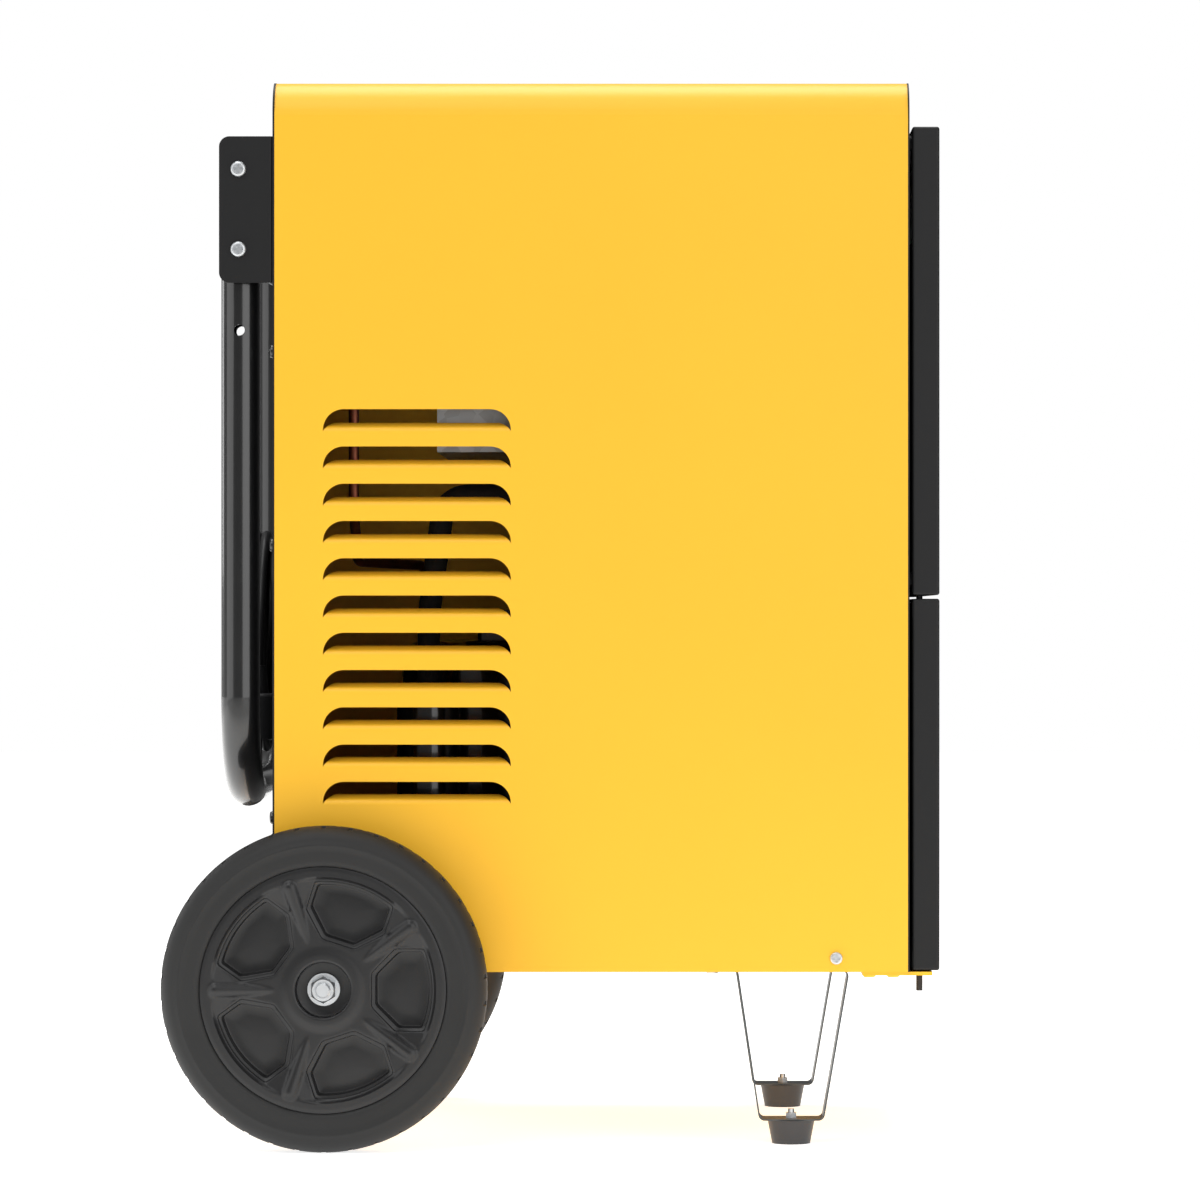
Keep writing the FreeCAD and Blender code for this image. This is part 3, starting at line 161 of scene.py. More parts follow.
def gloss_paint(name, colour, roughness):
    """Dipped gloss enamel over drawn steel: a smooth coat with long, faint waves."""
    material, tree, shader, place = start_material(name)
    waves = add_node(tree, "ShaderNodeTexNoise", {"Vector": place, "Scale": per_metre(30), "Detail": 1})
    tree.links.new(tint(tree, colour, 0.05, waves.outputs["Fac"]), shader.inputs["Base Color"])
    tree.links.new(
        spread(tree, waves.outputs["Fac"], roughness - 0.03, roughness + 0.03), shader.inputs["Roughness"]
    )
    tree.links.new(bumped(tree, waves.outputs["Fac"], 0.15, 0.3), shader.inputs["Normal"])
    shader.inputs["Coat Weight"].default_value = 1
    shader.inputs["Coat Roughness"].default_value = 0.08
    return material


def bare_metal(name, colour, roughness, brush_mm, brush_depth_mm, tone=0.06):
    """Bare or plated metal: fine lines or grain left by drawing, brushing or turning."""
    material, tree, shader, place = start_material(name)
    lines = add_node(tree, "ShaderNodeTexNoise", {"Vector": place, "Scale": per_metre(brush_mm), "Detail": 3})
    cloud = add_node(tree, "ShaderNodeTexNoise", {"Vector": place, "Scale": per_metre(20), "Detail": 2})
    tree.links.new(tint(tree, colour, tone, cloud.outputs["Fac"]), shader.inputs["Base Color"])
    tree.links.new(
        spread(tree, lines.outputs["Fac"], roughness - 0.08, roughness + 0.08), shader.inputs["Roughness"]
    )
    tree.links.new(bumped(tree, lines.outputs["Fac"], brush_depth_mm, 0.4), shader.inputs["Normal"])
    shader.inputs["Metallic"].default_value = 1
    return material


def galvanised(name):
    """Hot-dip galvanised sheet: zinc crystals about 9 mm across, each with its own tone and gloss."""
    material, tree, shader, place = start_material(name)
    flower = add_node(tree, "ShaderNodeTexVoronoi", {"Vector": place, "Scale": per_metre(9)})
    tone = add_node(tree, "ShaderNodeSeparateColor", {"Color": flower.outputs["Color"]})
    tree.links.new(tint(tree, linear("#B9BFC3"), 0.12, tone.outputs["Red"]), shader.inputs["Base Color"])
    tree.links.new(spread(tree, tone.outputs["Green"], 0.32, 0.5), shader.inputs["Roughness"])
    shader.inputs["Metallic"].default_value = 1
    return material


def filter_foam(name):
    """Open-cell foam: pores of about 2 mm between thin struts, each pore darkened with painted shade."""
    material, tree, shader, place = start_material(name)
    pores = add_node(tree, "ShaderNodeTexVoronoi", {"Vector": place, "Scale": per_metre(2.2)})
    # Painted shade: the pore centres are coloured up to half darker than the struts, in the same hollows that
    # the bump below sinks.
    tree.links.new(tint(tree, linear("#3C4043"), 0.5, pores.outputs["Distance"]), shader.inputs["Base Color"])
    tree.links.new(bumped(tree, pores.outputs["Distance"], 1.2, 0.9), shader.inputs["Normal"])
    shader.inputs["Roughness"].default_value = 0.9
    return material


def circuit_board(name):
    """Solder-masked board: green resist with the copper tracks just showing through."""
    material, tree, shader, place = start_material(name)
    turned = add_node(tree, "ShaderNodeMapping", {"Vector": place, "Rotation": (0, math.pi / 2, 0)})
    tracks = add_node(
        tree, "ShaderNodeTexBrick",
        {
            "Vector": turned.outputs["Vector"], "Scale": 1.0,
            "Mortar Size": 0.6 * MM, "Brick Width": 9 * MM, "Row Height": 4 * MM,
            "Color1": linear("#17592F"), "Color2": linear("#1B6636"), "Mortar": linear("#3E8A57"),
        },
    )
    tree.links.new(tracks.outputs["Color"], shader.inputs["Base Color"])
    shader.inputs["Roughness"].default_value = 0.3
    return material


def smoked_acrylic(name):
    """Smoked acrylic window: glossy and nearly black, with a faint mould swell."""
    material, tree, shader, place = start_material(name)
    swell = add_node(tree, "ShaderNodeTexNoise", {"Vector": place, "Scale": per_metre(18), "Detail": 1})
    tree.links.new(tint(tree, linear("#14191B"), 0.1, swell.outputs["Fac"]), shader.inputs["Base Color"])
    tree.links.new(spread(tree, swell.outputs["Fac"], 0.05, 0.1), shader.inputs["Roughness"])
    shader.inputs["Coat Weight"].default_value = 1
    return material


THREAD_PITCH = 0.8


def threaded_steel(name):
    """Plain steel rod with a rolled thread: rings THREAD_PITCH apart along its length, with painted shade in
    the grooves and painted highlight on the crests.
    """
    material, tree, shader, place = start_material(name)
    rings = add_node(
        tree, "ShaderNodeTexWave", {"Vector": place, "Scale": 2 * math.pi / (20 * THREAD_PITCH * MM)},
        bands_direction="Z",
    )
    # Painted shade and painted highlight: the colour swings 30% darker in the thread's grooves and lighter on
    # its crests, following the bump's rings.
    tree.links.new(tint(tree, linear("#4B4B4D"), 0.3, rings.outputs["Fac"]), shader.inputs["Base Color"])
    tree.links.new(bumped(tree, rings.outputs["Fac"], 0.35), shader.inputs["Normal"])
    shader.inputs["Metallic"].default_value = 1
    shader.inputs["Roughness"].default_value = 0.35
    return material


def finishes(colours):
    """Every finish on the machine, by the record's slot name."""
    case, trim, rim, tyre = ((*c, 1) for c in (colours.case, colours.trim, colours.rim, colours.tyre))
    return {
        "yellow_powder_coat": powder_coat(
            "Yellow powder coat, baked satin", case, 0.42, 3.2, 0.02, 0.9, 0.008
        ),
        "black_powder_coat": powder_coat(
            "Black powder coat, fine texture", trim, 0.5, 1.6, 0.03, 0.7, 0.03, 0.35
        ),
        "black_tube": gloss_paint("Black enamel, dipped steel tube", linear("#0C0C0D"), 0.3),
        "black_moulding": moulded("Black ABS, moulded", linear("#1C1C1E"), 0.5, 0.7, 0.02),
        "wheel_plastic": moulded("Black polypropylene, moulded wheel", rim, 0.36, 0.5, 0.005, 0.5),
        "wheel_rubber": moulded("Black solid rubber, moulded tyre", tyre, 0.56, 0.9, 0.02, 0.35),
        "foot_rubber": moulded("Black rubber, moulded foot", linear("#38383A"), 0.4, 0.8, 0.01, 0.5),
        "zinc_steel": bare_metal("Steel, bright zinc plate", linear("#D6D9DC"), 0.42, 0.8, 0.008),
        "strap_steel": bare_metal("Steel strip, dark zinc plate", linear("#5A5E60"), 0.36, 0.8, 0.008),
        "black_screws": gloss_paint("Blackened steel, machine screws", linear("#151516"), 0.3),
        "pin_steel": threaded_steel("Steel rod, rolled thread"),
        "galvanised_sheet": galvanised("Steel sheet, hot-dip galvanised"),
        "copper_tube": bare_metal("Copper, drawn tube", linear("#8A5340"), 0.42, 0.7, 0.008, tone=0.15),
        "fin_aluminium": bare_metal("Aluminium, rolled fin stock", linear("#D3D6D9"), 0.35, 0.9, 0.01),
        "compressor_black": gloss_paint("Black enamel, compressor shell", linear("#101011"), 0.25),
        "pipe_foam": moulded("Black nitrile foam, extruded sleeve", linear("#161617"), 0.85, 1.1, 0.1, 0.2),
        "filter_foam": filter_foam("Grey polyurethane, open-cell foam"),
        "tank_plastic": moulded("White polyethylene, blow-moulded", linear("#DDE0DA"), 0.42, 1.2, 0.02),
        "grey_plastic": moulded("Grey ABS, moulded", linear("#8C8F91"), 0.5, 0.7, 0.02),
        "button_plastic": moulded("Light grey ABS, moulded key", linear("#B9BDC0"), 0.4, 0.5, 0.01),
        "display_window": smoked_acrylic("Smoked acrylic, moulded window"),
        "circuit_board": circuit_board("Epoxy board, green solder mask"),
        "cord_pvc": moulded("Black PVC, extruded cable jacket", linear("#141415"), 0.45, 1.4, 0.02, 0.4),
    }


# The finishes by slot name, filled in by the first operator.
FINISH = {}
# Pieces whose real metal differs from the finish of their slot.
OWN_FINISH = {"air_box": "galvanised_sheet", "discharge_pipe": "copper_tube"}


# ---------------------------------------------------------------- mesh helpers

def new_piece(name, vertices, faces, body, slot, smooth_angle=35):
    """A mesh piece in metres that rides on a body and takes a slot's finish."""
    mesh = bpy.data.meshes.new(name)
    mesh.from_pydata([tuple(v) for v in vertices], [], faces)
    mesh.validate()
    piece = bpy.data.objects.new(name, mesh)
    bpy.context.scene.collection.objects.link(piece)
    tidy = bmesh.new()
    tidy.from_mesh(mesh)
    bmesh.ops.remove_doubles(tidy, verts=tidy.verts, dist=0.00002)
    bmesh.ops.recalc_face_normals(tidy, faces=tidy.faces)
    limit = math.radians(smooth_angle)
    for edge in tidy.edges:
        edge.smooth = len(edge.link_faces) == 2 and edge.calc_face_angle(0) < limit
    for face in tidy.faces:
        face.smooth = True
    tidy.to_mesh(mesh)
    tidy.free()
    mesh.materials.append(FINISH[slot])
    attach(piece, body)
    return piece


def smoothstep(low, high, value):
    """0 below low, 1 above high, and an S between."""
    t = max(0.0, min(1.0, (value - low) / (high - low)))
    return t * t * (3 - 2 * t)


def middle(low, high):
    """The centre of a box."""
    return [(a + b) / 2 for a, b in zip(low, high)]


# ---------------------------------------------------------------- wheels

class Wheel:
    """One wheel's own axes: u forward, v up and d outward from the wheel's inner face, in millimetres."""

    def __init__(self, side):
        name = "right" if side < 0 else "left"
        low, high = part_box("tyre_" + name)
        self.side = side
        self.name = name
        self.body = name + "_wheel"
        self.centre = middle(low, high)
        self.radius = (high[0] - low[0]) / 2 / MM
        self.inner = min(abs(low[1]), abs(high[1]))
        self.width = abs(high[1] - low[1]) / MM

    def at(self, u, v, d):
        return (self.centre[0] + u * MM, self.side * (self.inner + d * MM), self.centre[2] + v * MM)

    def polar(self, r, angle, d):
        return self.at(r * math.cos(angle), r * math.sin(angle), d)


# Sizes of a wheel in millimetres. Heights are out from its inner face.
RIM_RADIUS = 94.5
RIM_STATIONS = 180
BORE_RADIUS = 8.15
HUB_RADIUS = 21.25
HUB_DEPTH = 17.2
SPOKES = 5
WEB_HEIGHT = 38.0
RING_HEIGHT = 41.6
RING_STEP = (84.2, 86.6)
RIB_START = 34.0
NOSE_AT = 82.3              # where a rib's round nose has its centre
POCKET_LEVEL = 23.2         # of the edge of a pocket's floor
POCKET_CORNER = 2.2
POCKET_EDGE = 3.3           # how far the step round a pocket stands outside its wall
POCKET_CENTRE = (62.0, 0.0)
MESH_ROW = 1.45             # between the rings of points on a rim's face


def spoke_offset(u, v):
    """The distance along and across the nearest spoke."""
    radius = math.hypot(u, v)
    step = 2 * math.pi / SPOKES
    angle = (math.atan2(v, u) - step / 2) % step
    angle = angle - step if angle > step / 2 else angle
    return radius * math.cos(angle), radius * math.sin(angle)


def web_height(u, v):
    """How far out the front face stands: a flat web, five round ribs with flat wings, and the ring."""
    radius = math.hypot(u, v)
    along, across = spoke_offset(u, v)
    across = abs(across)
    face = WEB_HEIGHT + 1.0 - smoothstep(26, 34, radius)
    wing = WEB_HEIGHT + 0.2 * (along - 66) - 0.13 * (across - 5)
    face = max(face, min(wing, RING_HEIGHT - 0.4))
    face += (RING_HEIGHT - face) * smoothstep(*RING_STEP, radius)
    share = max(0.0, min(1.0, (along - RIB_START) / (NOSE_AT - RIB_START)))
    size = 3.4 + 3.6 * share
    away = math.hypot(across, max(0.0, along - NOSE_AT))
    if along > RIB_START and away < size:
        axis = 34.2 + 3.1 * share
        face = max(face, axis + math.sqrt(size ** 2 - away ** 2))
    return face


def pocket_corner_points(grow):
    """The corners of one pocket on the u axis, larger by grow millimetres all round."""
    upper = [(40 - 1.2 * grow, 11.5 + 0.6 * grow), (57.5 - grow, 29 + grow), (75.4 + 0.7 * grow, 29 + grow)]
    flat, half_width = upper[-1]
    end_radius = 81 + grow
    arc = []
    for k in range(1, 8):
        share = 1 - k / 4
        arc.append((flat + (end_radius - flat) * (1 - share ** 2), half_width * share))
    lower = [(u, -v) for u, v in reversed(upper)]
    return upper + arc + lower


def rounded_loop(corners, radius, per_corner=4):
    """A closed outline with each sharp corner rounded, with the same number of points at each."""
    points = []
    count = len(corners)
    for k in range(count):
        before, corner, after = (Vector(corners[(k + s) % count]) for s in (-1, 0, 1))
        arriving = corner - before
        leaving = after - corner
        back = min(radius, arriving.length * 0.45, leaving.length * 0.45)
        start = corner - arriving.normalized() * back
        end = corner + leaving.normalized() * back
        for step in range(per_corner):
            t = step / (per_corner - 1)
            points.append((start * (1 - t) ** 2 + corner * 2 * t * (1 - t) + end * t ** 2).to_tuple())
    return points


def turn_point(point, angle):
    """A point turned about the wheel's axis."""
    u, v = point
    return (u * math.cos(angle) - v * math.sin(angle), u * math.sin(angle) + v * math.cos(angle))


def inside_outline(point, outline):
    """Whether a point is inside a closed outline."""
    u, v = point
    within = False
    for (a, b), (c, d) in zip(outline, outline[1:] + outline[:1]):
        if (b > v) != (d > v) and u < (c - a) * (v - b) / (d - b) + a:
            within = not within
    return within


def strip(first, second, count, closed=True):
    """Quads between two runs of vertex numbers."""
    last = count if closed else count - 1
    return [(first + k, first + (k + 1) % count, second + (k + 1) % count, second + k) for k in range(last)]


def turned_strips(wheel, profile, stations):
    """Vertices and faces of a profile of radius and distance turned about the axle."""
    vertices = []
    faces = []
    for r, d in profile:
        vertices += [wheel.polar(r, 2 * math.pi * k / stations, d) for k in range(stations)]
    for row in range(len(profile) - 1):
        faces += strip(row * stations, (row + 1) * stations, stations)
    return vertices, faces


def pocket_loops(grow):
    """The five pockets' outlines, larger by grow millimetres all round."""
    loop = rounded_loop(pocket_corner_points(grow), POCKET_CORNER)
    return [[turn_point(p, 2 * math.pi * k / SPOKES) for p in loop] for k in range(SPOKES)]


def circle_points(radius, count, start=0.0):
    """Points evenly round a circle, the first one a share of a step on."""
    angles = [2 * math.pi * (k + start) / count for k in range(count)]
    return [(radius * math.cos(angle), radius * math.sin(angle)) for angle in angles]


def rim_front(wheel):
    """The front face of a rim: a dished web with five stepped pockets."""
    outer = RIM_RADIUS - 0.5
    hub = HUB_RADIUS + 1.0
    pockets = pocket_loops(POCKET_EDGE)
    keep_out = pocket_loops(POCKET_EDGE + 0.9)
    flat = []
    edges = []
    for loop in [circle_points(outer, RIM_STATIONS), circle_points(hub, RIM_STATIONS), *pockets]:
        first = len(flat)
        flat += loop
        edges += [(first + k, first + (k + 1) % len(loop)) for k in range(len(loop))]
    rings = [hub + 1.6 + MESH_ROW * k for k in range(int((outer - hub - 2.6) / MESH_ROW))]
    edge_rings = [RING_STEP[0], sum(RING_STEP) / 2, RING_STEP[1]]
    rings = [r for r in rings if min(abs(r - edge) for edge in edge_rings) > 0.7] + edge_rings
    for row, radius in enumerate(rings):
        count = max(60, int(2 * math.pi * radius / 1.5))
        for point in circle_points(radius, count, 0.5 * (row % 2)):
            if not any(inside_outline(point, loop) for loop in keep_out):
                flat.append(point)
    points, _, faces, *_ = geometry.delaunay_2d_cdt([Vector(p) for p in flat], edges, [], 0, 1e-5)
    kept = []
    for face in faces:
        centre = sum((points[k] for k in face), Vector((0, 0))) / len(face)
        in_web = hub < centre.length < outer
        if in_web and not any(inside_outline(centre, loop) for loop in pockets):
            kept.append(tuple(face))
    return [wheel.at(u, v, web_height(u, v)) for u, v in points], kept


def pocket_walls(wheel, turn):
    """The stepped edge, wall and domed floor of one pocket."""
    edge_rows = [
        (POCKET_EDGE, 0.0), (2.9, 0.12), (2.6, 0.5), (2.5, 1.6), (2.2, 2.0), (0.7, 2.15), (0.3, 2.3),
        (0.05, 2.8),
    ]
    floor_rows = [(-0.4, POCKET_LEVEL + 1.4), (-0.7, POCKET_LEVEL + 0.4), (-1.6, POCKET_LEVEL)]
    vertices = []
    loop = []
    for grow, drop in edge_rows:
        for point in rounded_loop(pocket_corner_points(grow), POCKET_CORNER):
            u, v = turn_point(point, turn)
            vertices.append(wheel.at(u, v, web_height(u, v) - drop))
    for grow, level in floor_rows:
        loop = rounded_loop(pocket_corner_points(grow), POCKET_CORNER)
        vertices += [wheel.at(*turn_point(point, turn), level) for point in loop]
    for share, rise in ((0.66, 0.3), (0.33, 0.55)):
        for point in loop:
            mixed = tuple(c + (p - c) * share for p, c in zip(point, POCKET_CENTRE))
            vertices.append(wheel.at(*turn_point(mixed, turn), POCKET_LEVEL + rise))
    count = len(loop)
    faces = []
    last = len(vertices) - count
    for first in range(0, last, count):
        faces += strip(first, first + count, count)
    vertices.append(wheel.at(*turn_point(POCKET_CENTRE, turn), POCKET_LEVEL + 0.65))
    faces += [(last + k, last + (k + 1) % count, len(vertices) - 1) for k in range(count)]
    return vertices, faces


def make_rim(wheel):
    """A moulded rim: dished and ribbed front, hub recess, hollow back and a bore for the axle."""
    floor = wheel.width - HUB_DEPTH
    hub = HUB_RADIUS
    bore = BORE_RADIUS
    edge = RIM_RADIUS - 0.1
    parts = [rim_front(wheel)]
    parts += [pocket_walls(wheel, 2 * math.pi * k / SPOKES) for k in range(SPOKES)]
    edge_height = web_height(RIM_RADIUS - 0.5, 0)
    outside = [
        (RIM_RADIUS - 0.5, edge_height), (RIM_RADIUS - 0.25, edge_height - 0.15), (edge, edge_height - 0.6),
        (edge, 4.3), (RIM_RADIUS - 1.2, 3.4), (81, 3.6), (79.5, 4.6), (76.5, 16.4), (75, 17.2),
        (35.5, 17.2), (33.8, 16), (30.2, 0.9), (29, 0.2), (bore + 1, 0.2), (bore, 1.0),
        (bore, floor - 1), (bore + 1, floor), (hub - 1.4, floor), (hub - 0.3, floor + 0.8),
        (hub, WEB_HEIGHT - 0.4), (hub + 0.3, WEB_HEIGHT + 0.5), (hub + 1.0, web_height(hub + 1.0, 0)),
    ]
    parts.append(turned_strips(wheel, outside, RIM_STATIONS))
    vertices = []
    faces = []
    for some, theirs in parts:
        first = len(vertices)
        vertices += some
        faces += [tuple(first + k for k in face) for face in theirs]
    rim = new_piece(f"rim_{wheel.name}_moulding", vertices, faces, wheel.body, "wheel_plastic", 42)
    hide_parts("rim_" + wheel.name)


def tread_profile(wheel):
    """Radius, distance outward and which row of blocks each point of the tyre's section belongs to."""
    r = wheel.radius
    w = wheel.width
    half = [
        (RIM_RADIUS, w - 8, 0), (RIM_RADIUS, w - 4.2, 0), (RIM_RADIUS + 0.4, w - 3.2, 0),
        (RIM_RADIUS + 1.4, w - 2.2, 0), (RIM_RADIUS + 2.8, w - 1.5, 0), (RIM_RADIUS + 5, w - 1.25, 0),
        (r - 20, w - 0.9, 0), (r - 15.6, w - 0.7, 0), (r - 14.8, w - 0.15, 0), (r - 14, w, 0),
        (r - 13.2, w - 0.15, 0), (r - 12.4, w - 0.85, 0), (r - 9.5, w - 1.6, 0), (r - 7.6, w - 2.5, 0),
        (r - 5.8, w - 3.9, 0), (r - 4.2, w - 5.6, 0), (r - 2.8, w - 7.6, 0), (r - 1.8, w - 9.4, 0),
        (r - 1.6, w - 9.8, 1), (r - 0.6, w - 12.2, 1), (r, w - 15, 1), (r, w / 2 + 4.2, 1),
        (r, w / 2 + 3.6, 0),
    ]
    mirror = [(radius, w - d, -row) for radius, d, row in reversed(half)]
    return half + mirror


def make_tyre(wheel, tread):
    """A solid rubber tyre with a plain middle band between two staggered rows of shallow blocks."""
    profile = tread_profile(wheel)
    pitch = 2 * math.pi / tread.blocks
    half_gap = tread.gap / MM / 2 / wheel.radius
    soft = 0.35 / wheel.radius
    depth = tread.depth / MM

    def groove(angle, row):
        """1 at the bottom of a groove of a row and 0 on a block."""
        shift = 0.5 if row > 0 else 0.0
        away = abs((angle / pitch + shift + 0.5) % 1 - 0.5) * pitch
        return 1 - smoothstep(half_gap - soft, half_gap + soft, away)

    near_groove = (-half_gap - soft, -half_gap + soft, 0, half_gap - soft, half_gap + soft, pitch / 4)
    stations = [k * pitch / 2 + step for k in range(2 * tread.blocks) for step in near_groove]
    vertices = []
    for radius, d, row in profile:
        for angle in stations:
            drop = depth * groove(angle, row) if row else 0.0
            inward = drop * 0.55 if radius < wheel.radius - 1 else 0.0
            side = -1 if d > wheel.width / 2 else 1
            vertices.append(wheel.polar(radius - drop, angle, d + side * inward))
    count = len(stations)
    faces = []
    for row in range(len(profile) - 1):
        faces += strip(row * count, (row + 1) * count, count)
    faces += strip((len(profile) - 1) * count, 0, count)
    tyre = new_piece(f"tyre_{wheel.name}_moulding", vertices, faces, wheel.body, "wheel_rubber", 38)
    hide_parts("tyre_" + wheel.name)


# ---------------------------------------------------------------- mains cord

CORD_DIAMETER = 8.0
COIL_RADIUS = 43.0          # of the oval's round ends, at the middle of the bundle
COIL_STRAIGHT = 36.0        # half of the oval's straight sides
COIL_TURNS = 7.5
POINTS_PER_TURN = 20
END_POINTS_LEFT_OUT = 3     # at each end of the coil, where the cord leaves it


def cord_points(cord_x, coil_z, gland, plug):
    """The control points in metres: up from the gland, round the hook in turns, and down to the plug."""
    beside = [(57, 44), (73, 23), (86, 1)]
    points = [(cord_x, gland[1], gland[2])]
    points += [(cord_x, y * MM, coil_z + z * MM) for y, z in [(gland[1] / MM + 0.3, -22)] + beside[::-1]]
    rng = random.Random(7)
    # Each turn's ring and row in the bundle. The cord crosses to the next one near the end of a turn.
    slots = [(1, -1), (0, -1), (-1, -1), (-1, 0), (-1, 1), (0, 1), (0, 0), (1, 0)]
    last_turn = len(slots) - 1
    for k in range(END_POINTS_LEFT_OUT, int(COIL_TURNS * POINTS_PER_TURN) - END_POINTS_LEFT_OUT + 1):
        turn, share = divmod(k, POINTS_PER_TURN)
        share /= POINTS_PER_TURN
        start = 0.8 - 0.08 * turn
        blend = smoothstep(start, start + 0.2, share) if turn < last_turn else 0.0
        here, there = slots[turn], slots[min(turn + 1, last_turn)]
        ring = here[0] + (there[0] - here[0]) * blend
        row = here[1] + (there[1] - here[1]) * blend
        y, z = stadium_point(share, COIL_RADIUS, COIL_STRAIGHT, ring * CORD_DIAMETER)
        wobble = rng.uniform(-0.2, 0.2)
        points.append((cord_x + (row * 7.9 + wobble) * MM, (y + wobble) * MM, coil_z + z * MM))
    points += [(cord_x, -y * MM, coil_z + z * MM) for y, z in beside]
    points.append((cord_x, plug[1], plug[2]))
    return points


def stadium_point(share, radius, straight, ring):
    """A point of an upright oval, a share of the way round from its +Y side and a ring further out."""
    arc = math.pi * radius
    length = share * (2 * arc + 4 * straight)
    wide = radius + ring
    if length < straight:
        return wide, length
    length -= straight
    if length < arc:
        return wide * math.cos(length / radius), straight + wide * math.sin(length / radius)
    length -= arc
    if length < 2 * straight:
        return -wide, straight - length
    length -= 2 * straight
    if length < arc:
        angle = math.pi + length / radius
        return wide * math.cos(angle), -straight + wide * math.sin(angle)
    return wide, length - arc - straight


def make_cord():
    """The mains cord as one curve from the gland to the plug, and the point where it leaves the gland."""
    cord_x, _, coil_z = middle(*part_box("cord_coil"))
    gland_low, gland_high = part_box("cable_gland")
    plug_low, plug_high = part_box("mains_plug")
    exit_at = (cord_x, middle(gland_low, gland_high)[1], gland_high[2])
    plug_at = (cord_x, middle(plug_low, plug_high)[1], plug_high[2])
    points = cord_points(cord_x, coil_z, exit_at, plug_at)
    curve = bpy.data.curves.new("mains_cord_jacket", "CURVE")
    curve.dimensions = "3D"
    spline = curve.splines.new("NURBS")
    spline.points.add(len(points) - 1)
    for point, place in zip(spline.points, points):
        point.co = (*place, 1)
    spline.order_u = 3
    spline.use_endpoint_u = True
    spline.resolution_u = 8
    curve.bevel_depth = CORD_DIAMETER / 2 * MM
    curve.bevel_resolution = 4
    curve.use_fill_caps = True
    cord = bpy.data.objects.new("mains_cord_jacket", curve)
    bpy.context.scene.collection.objects.link(cord)
    curve.materials.append(FINISH["cord_pvc"])
    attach(cord, "carcass")
    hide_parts("mains_cord", "cord_coil")
    return cord, exit_at


# ---------------------------------------------------------------- stage

def area_light(name, place, target, size, power, size_y=None):
    """A softbox that faces a target. Sizes in metres, power in watts."""
    data = bpy.data.lights.new(name, "AREA")
    data.shape = "RECTANGLE"
    data.size = size
    data.size_y = size_y or size
    data.energy = power
    lamp = bpy.data.objects.new(name, data)
    lamp.location = place
    way = Vector(target) - Vector(place)
    lamp.rotation_euler = way.to_track_quat("-Z", "Y").to_euler()
    bpy.context.scene.collection.objects.link(lamp)


def studio_world(brightness, surround):
    """White to the eye, and a calmer grey in what the machine reflects."""
    world = bpy.data.worlds.new("Studio")
    world.use_nodes = True
    tree = world.node_tree
    background = tree.nodes["Background"]
    seen = add_node(tree, "ShaderNodeLightPath").outputs["Is Camera Ray"]
    strength = add_node(tree, "ShaderNodeMapRange", {"Value": seen, "To Min": surround, "To Max": brightness})
    background.inputs["Color"].default_value = (1, 1, 1, 1)
    tree.links.new(strength.outputs["Result"], background.inputs["Strength"])
    bpy.context.scene.world = world


def floor_paint(colour):
    """White rolled paint that glows evenly, so the floor has no edge, but not in front of the machine."""
    material, tree, shader, place = start_material("White paint, rolled studio floor")
    mottle = add_node(tree, "ShaderNodeTexNoise", {"Vector": place, "Scale": per_metre(400), "Detail": 1})
    tree.links.new(tint(tree, colour, 0.01, mottle.outputs["Fac"]), shader.inputs["Base Color"])
    shader.inputs["Roughness"].default_value = 0.8
    distance = add_node(tree, "ShaderNodeVectorMath", {"Vector": place}, operation="LENGTH").outputs["Value"]
    near = add_node(
        tree, "ShaderNodeMapRange",
        {"Value": distance, "From Min": 0.1, "From Max": 1.1, "To Min": 0.72, "To Max": 0.92},
    )
    depth = add_node(tree, "ShaderNodeSeparateXYZ", {"Vector": place}).outputs["Y"]
    behind = add_node(
        tree, "ShaderNodeMapRange",
        {"Value": depth, "From Min": -1.1, "From Max": -0.5, "To Min": 0.0, "To Max": 1.0},
    )
    glow = add_node(
        tree, "ShaderNodeMath", {0: near.outputs["Result"], 1: behind.outputs["Result"]},
        operation="MULTIPLY",
    )
    tree.links.new(glow.outputs["Value"], shader.inputs["Emission Strength"])
    shader.inputs["Emission Color"].default_value = (1, 1, 1, 1)
    return material


def studio_floor(width, colour):
    """A plain square floor at the height that the machine stands on."""
    half = width / 2
    corners = [(-half, -half, 0), (half, -half, 0), (half, half, 0), (-half, half, 0)]
    mesh = bpy.data.meshes.new("studio_floor")
    mesh.from_pydata(corners, [], [(0, 1, 2, 3)])
    mesh.materials.append(floor_paint(colour))
    floor = bpy.data.objects.new("studio_floor", mesh)
    bpy.context.scene.collection.objects.link(floor)


def side_camera(settings):
    """A level camera that looks along +Y at the machine's right side."""
    data = bpy.data.cameras.new("camera")
    data.lens = settings.lens
    data.sensor_width = 36
    data.shift_x = -0.0583
    data.shift_y = 0.0167
    data.clip_end = 60
    camera = bpy.data.objects.new("camera", data)
    camera.location = (0.09085, -settings.camera_distance, settings.camera_height)
    camera.rotation_euler = (math.pi / 2, 0, 0)
    bpy.context.scene.collection.objects.link(camera)
    bpy.context.scene.camera = camera


# ---------------------------------------------------------------- settings

def colour_setting(name, description, hex_colour):
    """A colour that the user can pick, starting from an sRGB hex colour."""
    return bpy.props.FloatVectorProperty(
        name=name, description=description, subtype="COLOR", size=3, min=0, max=1,
        default=linear(hex_colour)[:3],
    )


class ColourSettings(bpy.types.PropertyGroup):
    case: colour_setting("Case", "Powder coat of the case, base and sill", "#FFC12B")
    trim: colour_setting("Trim", "Powder coat of the grille, door, rear panel and brackets", "#161617")
    rim: colour_setting("Rim", "Plastic of the wheels", "#1D1D1E")
    tyre: colour_setting("Tyre", "Rubber of the tyres", "#262626")
    floor: colour_setting("Floor", "Paint of the studio floor", "#F4F4F2")


